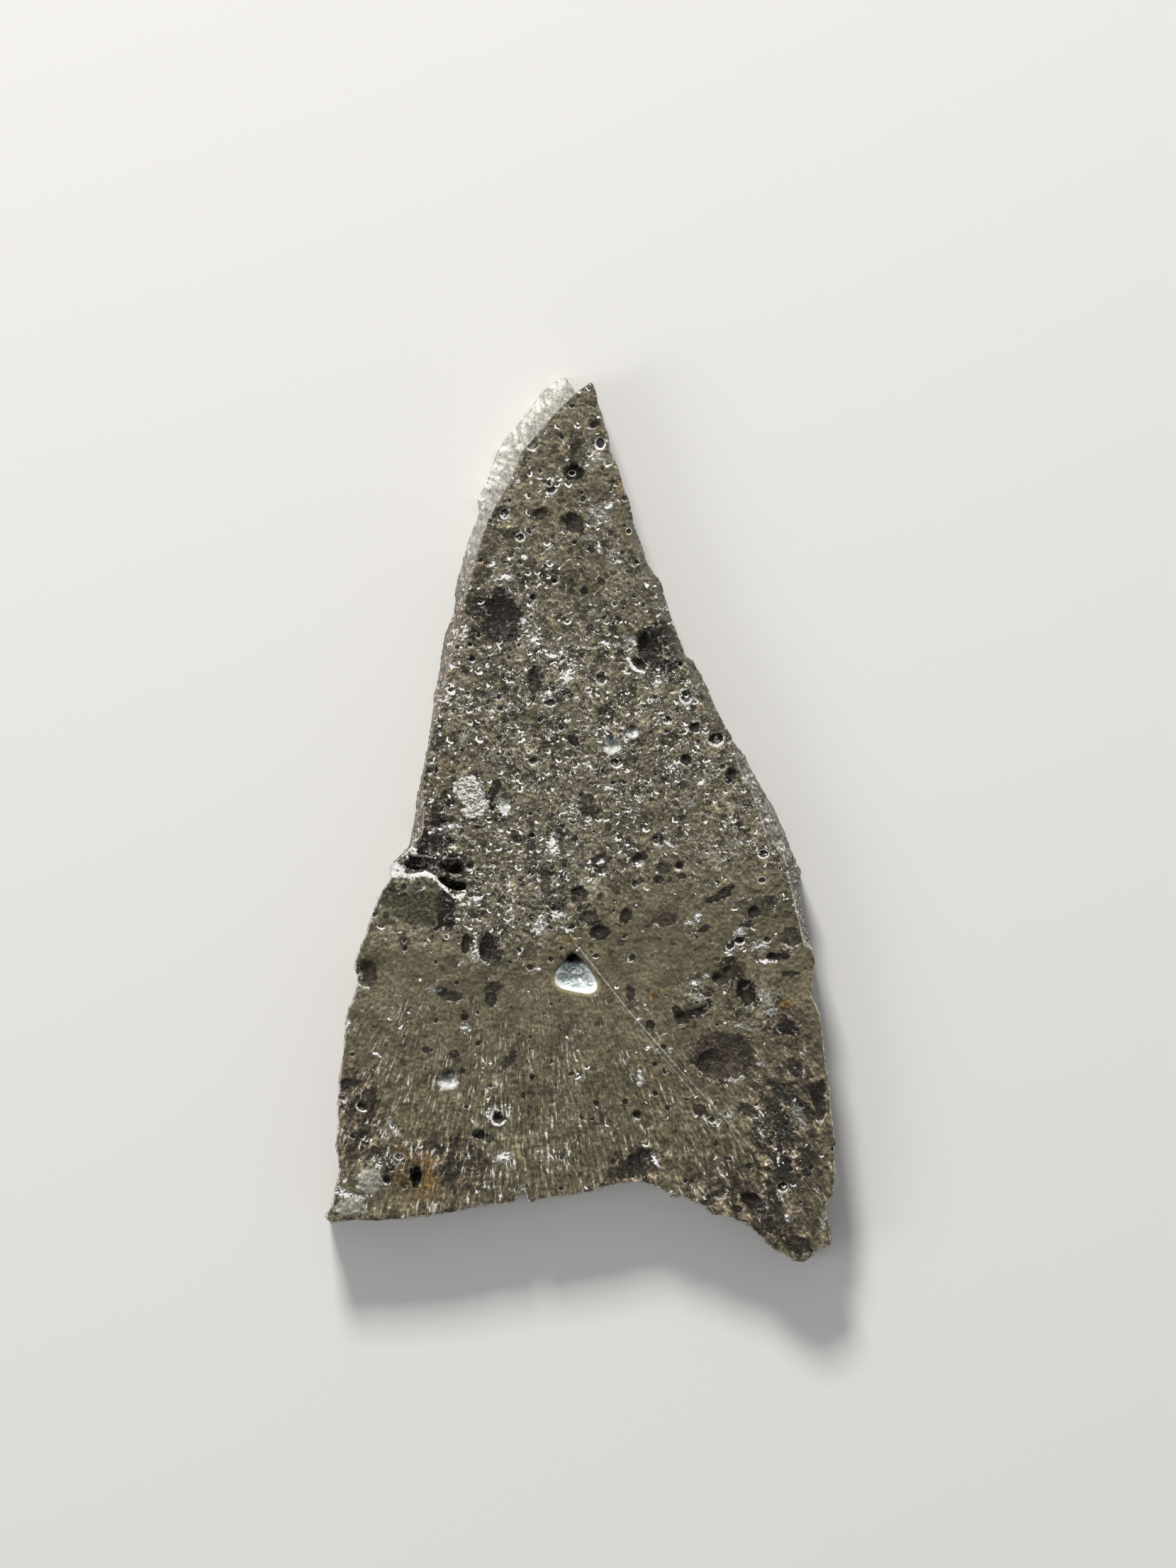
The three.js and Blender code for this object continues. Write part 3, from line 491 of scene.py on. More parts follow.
def lineField(points, lines):
    # 1 on the middle of a line, 0 at its half width and down to -1 away from it
    field = np.full(len(points), -1.0)
    for halfWidth, corners in lines:
        start = np.array(corners[:-1])
        span = np.diff(corners, axis=0)
        p = points[:, None, :2]
        t = np.clip(((p - start) * span).sum(2) / (span ** 2).sum(1), 0, 1)
        gap = np.linalg.norm(p - (start + t[..., None] * span), axis=2).min(1)
        field = np.maximum(field, 1 - gap / halfWidth)
    return field


def setField(mesh, name, values):
    values = np.asarray(values, np.float32)
    kind, key = ("FLOAT_VECTOR", "vector") if values.ndim == 2 else ("FLOAT", "value")
    attribute = mesh.attributes.get(name) or mesh.attributes.new(name, kind, "POINT")
    attribute.data.foreach_set(key, values.ravel())


def coordinates(mesh):
    co = np.empty(len(mesh.vertices) * 3, np.float32)
    mesh.vertices.foreach_get("co", co)
    return co.reshape(-1, 3).astype(float)


def normals(mesh):
    no = np.empty(len(mesh.vertices) * 3, np.float32)
    mesh.vertex_normals.foreach_get("vector", no)
    return no.reshape(-1, 3)


# Stone mesh

stoneMesh = {
    "voxel": 0.05,  # mm
    "quickVoxel": 0.075,
    "triangles": 196000,
    "pitSmoothing": 4,
    "faceRoughness": 0.012,  # mm
    "wallRoughness": 0.07,
    "wallGrain": 0.03,
    "ribSpacing": 0.13,
    "ribHeight": 0.03,
}


def meshObject(name, mesh):
    thing = bpy.data.objects.new(name, mesh)
    bpy.context.scene.collection.objects.link(thing)
    return thing


def applyModifiers(thing):
    bpy.context.view_layer.update()
    evaluated = thing.evaluated_get(bpy.context.evaluated_depsgraph_get())
    done = bpy.data.meshes.new_from_object(evaluated)
    thing.modifiers.clear()
    thing.data = done


def markMesh(mesh, outline, top):
    # where the wall is: outside the face's outline, and down the bevel just inside it
    co = coordinates(mesh)
    distance, along = edgeFields(co, outline)
    facing = normals(mesh)[:, 2]
    depth = top - co[:, 2]
    belowEdge = np.clip((depth - 0.05) / 0.06, 0, 1) * np.clip((0.16 - distance) / 0.04, 0, 1)
    outside = np.clip((0.03 - distance) / 0.05, 0, 1)
    wall = np.where(co[:, 2] < 0.02, 0, np.maximum(outside, belowEdge))
    setField(mesh, "edgeDistance", distance)
    setField(mesh, "edgeAlong", along)
    setField(mesh, "wall", wall)
    setField(mesh, "front", np.clip(1 - depth / 0.9, 0, 1) * (1 - wall) * (facing > -0.2))
    return co, wall, depth


def setStoneFields(mesh, outline, top):
    # everything that the finish reads from the mesh
    co, _, _ = markMesh(mesh, outline, top)
    setField(mesh, "sparkle", sparkleField(co))
    frontSide = co[:, 2] > top * 0.4
    for name in ("darkClasts", "paleSpar", "vesicles", "rust", "domes", "shaded"):
        setField(mesh, name, np.where(frontSide, markField(co, faceMarks[name]), -1))
    for name in ("darkClasts", "paleSpar", "vesicles", "domes"):
        setField(mesh, name + "Place", nearestMark(co, faceMarks[name]))
    for name, corners in faceOutlines.items():
        gap, _ = edgeFields(co, roundedOutline(corners))
        setField(mesh, name, np.where(frontSide, gap, -1))
    setField(mesh, "tipHole", markField(co, faceMarks["tipHole"]))
    setField(mesh, "powder", np.where(frontSide, lineField(co, powderLines), -1))


def surfaceTree(mesh):
    # roughens the walls and the faces, and sinks the scattered pits into the front face
    tree = bpy.data.node_groups.new("stoneSurface", "GeometryNodeTree")
    face = tree.interface
    face.new_socket("Geometry", in_out="INPUT", socket_type="NodeSocketGeometry")
    for name in ("Face Roughness", "Wall Roughness", "Wall Grain", "Rib Spacing", "Rib Height", "Pit Depth"):
        face.new_socket(name, in_out="INPUT", socket_type="NodeSocketFloat")
    face.new_socket("Geometry", in_out="OUTPUT", socket_type="NodeSocketGeometry")
    g = Graph(tree)
    group = g.node("NodeGroupInput").socket.node
    given = {socket.name: Wire(g, socket) for socket in group.outputs if socket.name}

    def attribute(name):
        return g.node("GeometryNodeInputNamedAttribute", {"data_type": "FLOAT"}, {"Name": name}, "Attribute")

    place = g.node("GeometryNodeInputPosition")
    normal = g.node("GeometryNodeInputNormal")
    wall = attribute("wall")
    flat = 1.0 - wall
    lumps = g.noise(place, 2.2, 3.0, 0.6) - 0.5
    grain = g.noise(place, 9.0, 2.0, 0.6) - 0.5
    ripple = g.noise(g.join(attribute("edgeAlong") / given["Rib Spacing"], attribute("edgeDistance") * 0.8,
                            0.0), 1.0, 1.0) - 0.5
    rough = wall * (lumps * given["Wall Roughness"] * 2.0 + grain * given["Wall Grain"] * 2.0
                    + ripple * given["Rib Height"] * 2.0)
    grit = flat * grain * given["Face Roughness"] * 2.0
    offset = g.scaled(normal, rough + grit)
    inside, _ = vesicleSpots(g, place, attribute("sparkle"))
    sunk = inside * given["Pit Depth"] * flat
    drop = g.join(0.0, 0.0, -sunk * attribute("front"))
    moved = g.node("GeometryNodeSetPosition", None, {
        "Geometry": given["Geometry"], "Offset": g.vector("ADD", offset, drop)})
    real = g.node("GeometryNodeRealizeInstances", None, {"Geometry": moved})
    done = g.node("GeometryNodeSetMaterial", None, {"Geometry": real, "Material": mesh.materials[0]})
    out = tree.nodes.new("NodeGroupOutput")
    g.plug(out.inputs[0], done)
    return tree


# Stone finish: colours, and the sizes of what is scattered, in millimetres

stoneLook = {
    "grey": (0.14, 0.121, 0.08),
    "olive": (0.116, 0.1, 0.062),
    "brown": (0.1, 0.078, 0.054),
    "strip": (0.13, 0.12, 0.095),
    "darkPatch": (0.022, 0.019, 0.015),
    "darkSpeck": (0.01, 0.009, 0.008),
    "clast": (0.052, 0.04, 0.032),
    "black": (0.009, 0.007, 0.005),
    "pit": (0.016, 0.014, 0.012),
    "pitFloor": (0.08, 0.074, 0.064),
    "glassFloor": (0.26, 0.28, 0.27),
    "dome": (0.3, 0.285, 0.245),
    "fleck": (0.95, 0.94, 0.89),
    "spar": (0.36, 0.37, 0.35),
    "feldspar": (0.85, 0.85, 0.8),
    "feldsparDark": (0.16, 0.15, 0.13),
    "oliveClast": (0.05, 0.046, 0.026),
    "pocketDark": (0.02, 0.015, 0.012),
    "pocketPale": (0.42, 0.36, 0.32),
    "powder": (0.95, 0.94, 0.92),
    "rust": (0.14, 0.086, 0.027),
    "ice": (0.56, 0.62, 0.61),
    "iceDark": (0.07, 0.075, 0.075),
    "glow": (0.5, 0.44, 0.24),
    "lipLine": (0.8, 0.76, 0.7),
    "whiteWall": (0.42, 0.4, 0.365),
    "brownWall": (0.15, 0.125, 0.1),
    "greyWall": (0.2, 0.19, 0.165),
    "paleWall": (6.0, 9.0),  # the wall turns from brown to white between these heights
    "streakFrom": (-2.0, 2.0),  # mm, where the saw marks fan out from
    "streaks": 120.0,  # in a radian
    "streakBreaks": 2.4,  # in a millimetre
    "streakStops": 6.5,
    "smears": 34.0,
    "smearBreaks": 0.9,
    "smearStops": 9.0,
    "arcStops": 3.5,  # how much lighter the lit side of a bump is
    "glintStops": 3.0,
    "arcFrom": 0.26,  # lit sides brighter than this turn white
    "glintFrom": 0.3,
    "dashFrom": 0.115,
    "tinyPits": {"perMm": 3.6, "radius": 0.07, "seed": 13.7, "share": 0.16},
    "largeGrains": {"perMm": 1.5, "radius": 0.27, "seed": 19.0},
    "smallGrains": {"perMm": 3.6, "radius": 0.11, "seed": 5.3},
    "specks": {"perMm": 3.4, "radius": 0.06, "seed": 7.3},
    "crowding": 0.34,  # how much fuller of flecks the sparkling part is
    "sparCrowding": 0.26,
    "roughness": 0.7,
    "shinyBy": 0.3,  # how much smoother flecks and glass are
    "specular": 0.2,
    "wallBump": 0.03,  # mm, as the next ones
    "mottleBump": 0.02,
    "grainBump": 0.022,
    "fleckBump": 0.012,
    "patchSink": 0.012,
    "speckSink": 0.05,
    "sawBump": 0.014,
}


def scratchLines(g, x, y):
    # fine straight lines on the face
    marked = 0.0
    for fromX, fromY, toX, toY, halfWidth in scratches:
        length = math.hypot(toX - fromX, toY - fromY)
        alongX, alongY = (toX - fromX) / length, (toY - fromY) / length
        along = (x - fromX) * alongX + (y - fromY) * alongY
        across = abs((y - fromY) * alongX - (x - fromX) * alongY)
        ends = g.step(along, 0.0, 0.03) * g.step(along, length, length - 0.03)
        marked = g.both(marked, g.step(across, halfWidth * 1.6, halfWidth * 0.5) * ends)
    return marked


def emboss(g, place, scale, lift, detail):
    # painted light and shade of a rough surface lit from the top of the slice: above 0 on its lit sides,
    # below 0 on its shaded sides
    above = g.vector("ADD", place, (0.0, lift, 0.0))
    return g.noise(place, scale, detail, 0.6) - g.noise(above, scale, detail, 0.6)


def surfaceInputs(g):
    # what the parts of the finish share: the place in mm, fields of the mesh and noises
    def field(name):
        return g.node("ShaderNodeAttribute", {"attribute_name": name}, None, "Fac")

    def nearest(name):
        return g.split(g.node("ShaderNodeAttribute", {"attribute_name": name + "Place"}, None, "Vector"))

    s = SimpleNamespace(field=field, nearest=nearest)
    metres = g.node("ShaderNodeTexCoord", None, None, "Object")
    s.place = g.vector("MULTIPLY", metres, (1 / mm, 1 / mm, 1 / mm))
    s.x, s.y, height = g.split(s.place)
    s.front = g.step(height, 0.6, 1.2)
    wobble = g.vector("SUBTRACT", g.node("ShaderNodeTexNoise", None, {
        "Vector": s.place, "Scale": 5.0, "Detail": 2.0}, "Color"), (0.5, 0.5, 0.5))
    s.bent = g.vector("ADD", s.place, g.scaled(wobble, 0.16))
    s.sparkle = field("sparkle")
    s.wall = field("wall")
    s.flat = 1.0 - s.wall
    s.inward = field("edgeDistance")
    s.broad = g.noise(s.place, 0.9, 3.0, 0.6)
    s.middle = g.noise(s.bent, 3.6, 4.0, 0.7)
    s.fine = g.noise(s.place, 10.0, 3.0, 0.7)
    s.ragged = (s.middle - 0.5) * 1.6 + (s.fine - 0.5) * 0.9
    s.lit = g.noise(g.vector("ADD", s.place, (31.0, 7.0, 3.0)), 1.8, 3.0, 0.65)
    s.torn = (g.noise(g.vector("ADD", s.place, (17.0, 3.0, 8.0)), 2.6, 3.0, 0.6) - 0.5) * 2.4 + s.ragged * 0.5
    # painted light: the lit and shaded sides of small bumps, at two sizes
    s.arcs = emboss(g, s.bent, 5.0, 0.07, 2.0)
    s.glints = emboss(g, g.vector("ADD", s.bent, (6.0, 2.0, 9.0)), 8.0, 0.045, 2.0)
    return s


def stopsUp(g, colour, stops):
    # lighter or darker by that many stops
    return g.scaled(colour, g.math("POWER", 2.0, stops))


def matrixColour(g, s):
    # olive where it is clear and greyer where it is full of flecks, mottled, with grains in two sizes
    look = stoneLook
    tint = g.step(s.sparkle * 0.7 + s.broad * 0.6, 0.35, 0.95)
    colour = g.mix(tint, look["olive"], look["grey"])
    s.shade = g.step(s.field("shaded") + s.torn * 0.3, -0.15, 0.5) * s.flat
    colour = g.mix(s.shade * 0.7, colour, look["brown"])
    contrast = 0.45 + 0.7 * s.sparkle + 0.5 * s.shade
    large, largeThere, largeTone = roundGrains(g, s.bent, look["largeGrains"],
                                               0.2 + 0.5 * s.sparkle, s.ragged)
    small, smallThere, smallTone = roundGrains(g, s.bent, look["smallGrains"],
                                               0.15 + 0.5 * s.sparkle, s.ragged)
    largeIn = g.step(large, 1.1, 0.8) * largeThere
    smallIn = g.step(small, 1.1, 0.75) * smallThere
    s.inGrain = g.both(largeIn, smallIn)
    s.grainEdge = g.both(g.step(abs(large - 1.15), 0.25, 0.08) * largeThere,
                         g.step(abs(small - 1.2), 0.3, 0.1) * smallThere)
    mottle = ((s.broad - 0.5) * 1.8 - (s.sparkle - 0.5) * 0.35
              + ((s.middle - 0.5) * 4.2 + (s.fine - 0.5) * 4.0) * contrast)
    # painted highlights on the lit sides of bumps and painted shade on their shaded sides
    embossed = (s.arcs * look["arcStops"] + s.glints * look["glintStops"]) * contrast
    grained = (largeIn * (largeTone * 2.0 - 1.35) + smallIn * (smallTone * 2.2 - 1.6)) * contrast
    colour = stopsUp(g, colour, mottle + embossed + grained + s.streak * s.streaky * look["streakStops"]
                     + s.shade * (s.smear * s.streaky * look["smearStops"] - 0.08))

    # smooth strip along the upper right edge
    s.strip = (g.step(s.inward + (s.middle - 0.5) * 0.5, 0.3, 0.16) * g.step(s.y, 2.2, 3.2)
               * g.step(s.x, 0.0, 1.0) * g.step(s.y, 9.0, 8.0) * s.flat)
    return g.mix(s.strip * 0.8, colour, stopsUp(g, look["strip"], (s.fine - 0.5) * 3.0))


def sawMarks(g, s):
    # fine streaks that fan out over the lower half
    fromX, fromY = stoneLook["streakFrom"]
    angle = g.math("ARCTAN2", s.x - fromX, fromY - s.y)
    reach = g.vector("DISTANCE", g.join(s.x, s.y, 0.0), (fromX, fromY, 0.0), output="Value")
    turned = g.join(angle * stoneLook["streaks"], reach * stoneLook["streakBreaks"], 0.0)
    s.streak = g.noise(turned, 1.0, 2.0, 0.7, 0.3) - 0.5
    wide = g.join(angle * stoneLook["smears"], reach * stoneLook["smearBreaks"], 0.0)
    s.smear = g.noise(wide, 1.0, 3.0, 0.65, 0.6) - 0.5
    s.streaky = g.step(s.y + (s.middle - 0.5) * 3.0, -3.5, -9.0) * s.flat


def darkGrains(g, s, colour):
    # irregular dark patches, small round specks and the clasts that were placed one by one, whose black is
    # painted shade where they lie on hollows
    look = stoneLook
    patchNoise = g.noise(g.vector("ADD", s.bent, (0.0, 9.0, 4.0)), 2.6, 4.0, 0.65)
    patchNoise = (patchNoise + s.ragged * 0.06 - s.shade * 0.085
                  + (s.smear * s.shade - s.streak * 0.3) * s.streaky)
    s.patch = g.step(patchNoise, 0.445, 0.36) * (0.15 + 0.85 * s.sparkle + 0.4 * s.shade)
    colour = g.mix(g.math("MINIMUM", s.patch, 1.0) * 0.66 * s.flat, colour,
                   stopsUp(g, look["darkPatch"], (s.fine - 0.5) * 6.0))
    kind = look["specks"]
    x, y, chance, size, _ = cellSpots(g, s.bent, kind["perMm"], kind["seed"])
    reach = (x * x + y * y) ** 0.5 / (kind["radius"] * (0.4 + size)) + s.ragged * 0.4
    chosen = g.step(0.04 + 0.15 * s.sparkle - chance, 0.0, 0.02) * s.flat
    s.speck = g.step(reach, 1.1, 0.6) * chosen
    # a painted highlight on the lower rim of each speck
    s.speckRim = g.step(abs(reach - 1.15), 0.3, 0.1) * g.step(y, 0.0, -0.05) * chosen
    colour = g.mix(s.speck * 0.9, colour, look["darkSpeck"])

    across, up, darkness = s.nearest("darkClasts")
    reach = (across * across + up * up) ** 0.5 + s.torn * 0.4 + s.ragged * 0.35
    near = g.step(s.field("darkClasts"), -0.75, -0.5) * s.flat
    s.clast = g.step(reach, 1.15, 0.85) * near
    # a painted highlight on the lower rim of each clast
    s.clastRim = g.step(abs(reach - 1.14), 0.12, 0.04) * g.step(up, 0.0, -0.7) * near
    # painted glints in the clast's tone
    tone = stopsUp(g, g.mix(darkness, look["clast"], look["black"]),
                   (s.fine - 0.5) * 6.0 + (s.middle - 0.5) * 5.0 + s.glints * 5.0)
    return g.mix(s.clast * (0.7 + 0.28 * darkness), colour, tone)


def tinyPits(g, s, colour):
    # pits of a tenth of a millimetre, painted only: a painted shade on the floor, and a painted highlight as
    # a thin white rim on the side away from the light
    kind = stoneLook["tinyPits"]
    x, y, chance, size, turn = cellSpots(g, s.bent, kind["perMm"], kind["seed"])
    radius = kind["radius"] * (0.35 + size * size)
    reach = (x * x + y * y) ** 0.5
    chosen = g.step(kind["share"] + s.crowd * 1.1 - chance, 0.0, 0.02) * s.flat
    side = g.step((x * (turn - 0.5) * 2.0 + y) / radius, 0.1, -0.5)
    s.tinyRims = g.step(abs(reach - radius) + s.ragged * 0.02, 0.034, 0.016) * side * chosen
    return g.mix(g.step(reach / radius, 1.0, 0.7) * chosen * 0.6, colour, stoneLook["pit"])


def whiteFlecks(g, s):
    # painted highlights on the lit sides of the finest pits and on the rims of small pits and specks, with
    # white bent threads and dashes along the saw marks, crowded in places
    look = stoneLook
    knots = g.noise(g.vector("ADD", s.place, (2.0, 8.0, 5.0)), 8.0, 1.0)
    arcs = g.step(s.arcs + s.crowd * 0.5, look["arcFrom"], look["arcFrom"] + 0.03)
    glints = g.step(s.glints + s.crowd * 0.5, look["glintFrom"], look["glintFrom"] + 0.03)
    thread = g.step(abs(g.noise(s.place, 4.5, 2.0, 0.6, 0.6) - 0.5), 0.016, 0.004)
    threads = thread * g.step(s.crowd + (knots - 0.5) * 0.5, 0.03, 0.1)
    dashNoise = s.streak + (s.lit - 0.5) * 0.5 + s.smear * 0.2 * s.shade - 0.04 * g.step(s.x, -2.0, 2.0)
    dashes = g.step(dashNoise, look["dashFrom"], look["dashFrom"] + 0.05) * s.streaky
    strength = 0.4 + 0.6 * g.step(knots + s.crowd * 0.5, 0.44, 0.56)
    flecks = g.both(g.both(arcs, glints * 0.8), g.both(threads * 0.8, dashes * 0.8)) * strength
    return g.both(g.both(flecks, s.tinyRims), s.speckRim * 0.4) * (1.0 - 0.85 * s.clast)


def sparHaze(g, s, colour):
    # grains of spar: a pale haze, with flecks crowded on it
    look = stoneLook
    across, up, white = s.nearest("paleSpar")
    reach = (across * across + up * up) ** 0.5 + s.torn * 0.35
    near = g.step(s.field("paleSpar"), -0.9, -0.6) * s.flat
    haze = g.step(reach, 1.3, 0.3) * near * white
    # the white core and the spar's tone follow painted glints and lit sides of bumps
    lump = s.glints * 1.2 + s.arcs * 1.2 + (s.fine - 0.5) * 0.7 + 0.5 * (0.62 - reach)
    core = g.step(lump, 0.03, 0.13) * near * g.step(white, 0.65, 0.95)
    s.crowd = s.crowd + haze * look["sparCrowding"]
    colour = g.mix(haze * 0.6, colour, stopsUp(g, look["spar"], (s.fine - 0.5) * 5.0 + s.glints * 6.0))
    return g.mix(core, colour, stopsUp(g, look["powder"], (s.fine - 0.54) * 3.0))


def placedVesicles(g, s, colour):
    # painted shade on the pits' floors, darkest under their upper side, and on their lower slopes white glass
    # together with a painted highlight
    look = stoneLook
    across, up, roundRim = s.nearest("vesicles")
    reach = (across * across + up * up) ** 0.5 + s.ragged * 0.3 + s.torn * 0.12
    near = g.step(s.field("vesicles"), -0.85, -0.6) * s.flat
    s.pits = g.step(reach, 1.05, 0.85) * near
    thick = g.step(roundRim, -0.1, -0.9)
    slopeReach = abs(reach - (0.92 - 0.1 * thick)) / (1.0 + thick)
    lowerSlope = g.step(slopeReach + s.ragged * 0.1, 0.26, 0.1) * g.step(up + s.torn * 0.5, -0.1, -0.5)
    roundEdge = g.step(abs(reach - 1.08), 0.16, 0.06) * roundRim * g.step(s.ragged, -0.2, 0.1)
    s.rims = g.both(lowerSlope * (0.55 + 0.45 * g.step(s.fine, 0.45, 0.55)), roundEdge * 0.9) * near
    # painted shade: black under the upper side, lighter lower down
    floor = g.mix(g.step(up, 0.2, -0.9), look["black"], look["pitFloor"])
    glass = stopsUp(g, look["glassFloor"], (s.fine - 0.5) * 5.0 + s.arcs * 5.0)
    floor = g.mix(thick * g.step(up + s.torn * 0.5, 0.9, 0.2), floor, glass)
    return g.mix(s.pits * 0.92, colour, floor)


def paleGrains(g, s, colour):
    # the feldspar clast, the domes of the corner, the olive clast and the torn pocket
    look = stoneLook
    gap = s.field("feldspar")
    feldspar = g.step(gap + s.torn * 0.16 + (s.fine - 0.5) * 0.2, -0.02, 0.03) * s.flat
    lamella = g.noise(g.join((s.x + s.y) * 9.0, (s.x - s.y) * 4.0, 0.0), 1.0, 3.0, 0.75, 2.0)
    # painted glints among the feldspar's light and dark lamellae
    tone = g.mix(g.step(lamella * 0.7 + s.fine * 0.4 + s.glints * 1.5 - gap * 0.3, 0.4, 0.62),
                 look["feldsparDark"], look["feldspar"])
    colour = g.mix(feldspar * 0.92, colour, tone)
    across, up, _ = s.nearest("domes")
    dome = g.step(s.field("domes") + s.torn * 0.35 + s.ragged * 0.2, 0.0, 0.16) * s.flat
    # painted light and shade on each dome: lighter towards its top, darker towards its right, with painted
    # highlights on lit bumps
    domeStops = (s.fine - 0.5) * 3.0 + (s.middle - 0.5) * 2.0 + s.arcs * 4.0 + up * 0.7 - across * 0.4
    colour = g.mix(dome * 0.85, colour, stopsUp(g, look["dome"], domeStops))
    olive = g.step(s.field("oliveClast") + s.torn * 0.06, -0.03, 0.06) * s.flat
    # painted glints in the olive clast's tone
    oliveStops = (s.fine - 0.5) * 8.0 + (s.middle - 0.5) * 4.0 + s.glints * look["glintStops"]
    colour = g.mix(olive * 0.85, colour, stopsUp(g, look["oliveClast"], oliveStops))
    pocket = g.step(s.field("torn") + s.torn * 0.04, -0.02, 0.06)
    tone = g.mix(g.step(s.middle + (s.fine - 0.5) * 0.6, 0.52, 0.62), look["pocketDark"], look["pocketPale"])
    return g.mix(pocket * 0.9, colour, tone)


def powderAndRust(g, s, colour):
    # crushed powder on the lips of the cleft, brown stains, the rim and walls of the through hole, and a
    # painted highlight along the left edge
    look = stoneLook
    # the powder's ragged edge reaches further onto painted glints
    s.powder = g.step(s.field("powder") + s.ragged * 0.9 + s.glints * 2.0, 0.0, 0.35) * s.flat
    colour = g.mix(s.powder * 0.9, colour, stopsUp(g, look["powder"], (s.fine - 0.5) * 2.5))
    rust = g.step(s.field("rust") + s.torn * 0.5, -0.05, 0.6) * s.flat
    rustStops = (s.fine - 0.5) * 6.0 + (s.middle - 0.5) * 5.0 + s.streak * 5.0
    rust = rust * (0.5 + 0.35 * g.step(s.middle, 0.4, 0.6)) * (1.0 - g.both(s.pits, s.clast))
    colour = g.mix(rust, colour, stopsUp(g, look["rust"], rustStops))
    # a white rim, and walls painted white as painted light standing in for the brightness seen through the
    # hole
    rim = g.step(s.field("tipHole") + s.ragged * 0.5, 0.02, 0.16)
    colour = g.mix(rim * 0.85, colour, look["powder"])
    lip = (g.step(s.inward + (s.fine - 0.5) * 0.1, 0.045, 0.02) * g.step(s.middle, 0.4, 0.48)
           * g.step(s.y - 0.2 * s.x, 1.5, 0.5) * s.flat * s.front)
    return g.mix(lip * 0.8, colour, look["lipLine"])


def glassyFloor(g, s, colour):
    # the large glassy vesicle: painted shade under its upper lip, icy on its floor, white on its lower slope
    # as glass with a painted highlight, and a painted warm glow just below it
    look = stoneLook
    gap = s.field("glassy")
    s.glassy = g.step(gap + s.ragged * 0.03, -0.02, 0.03) * s.flat
    ice = g.mix(g.step(s.y + 0.3 * (s.middle - 0.5), -4.0, -4.25), look["iceDark"], look["ice"])
    ice = stopsUp(g, ice, (s.middle - 0.5) * 3.0 + (s.fine - 0.5) * 2.5 + s.arcs * 6.0)
    slope = g.step(gap + 0.16 * (s.middle - 0.5), 0.17, 0.06) * g.step(s.y, -4.2, -4.5)
    ice = g.mix(slope, ice, look["powder"])
    ice = g.mix(g.step(s.y + 0.2 * (s.middle - 0.5), -4.06, -3.98), ice, look["black"])
    colour = g.mix(s.glassy, colour, ice)
    glow = g.step(gap, -0.14, -0.02) * (1.0 - s.glassy) * g.step(s.y, -4.3, -4.6) * s.flat
    return g.mix(glow * 0.45, colour, look["glow"])


def brokenWall(g, s):
    # fibrous and pale near the tip, browner lower down, with pale chips that are partly painted highlight
    look = stoneLook
    along = s.field("edgeAlong")
    s.rib = g.noise(g.join(along * 8.0 + s.middle * 3.0, s.inward * 2.2, 0.0), 1.0, 3.0, 0.7, 0.5)
    height = (g.step(s.y + (s.middle - 0.5) * 2.5, look["paleWall"][0], look["paleWall"][1])
              * g.step(s.x, 1.5, 0.8))
    lower = g.mix(g.step(s.x, -4.0, -1.0), look["brownWall"], look["greyWall"])
    # pale chips set on the painted lit sides of bumps, partly a painted highlight
    chips = g.step(s.glints + s.arcs + (s.lit - 0.5) * 0.6, 0.1, 0.2) * g.step(s.inward, -0.5, -0.1)
    lower = g.mix(chips * 0.8, stopsUp(g, lower, (s.middle - 0.5) * 6.0), look["lipLine"])
    ribStops = (s.rib - 0.5) * 5.0 * (0.4 + 0.6 * height) + (s.fine - 0.5) * 4.0
    edgeward = (g.step(s.inward, -0.15, -0.6) * 0.7 - 0.35) * height
    return stopsUp(g, g.mix(height, lower, look["whiteWall"]), ribStops + edgeward)


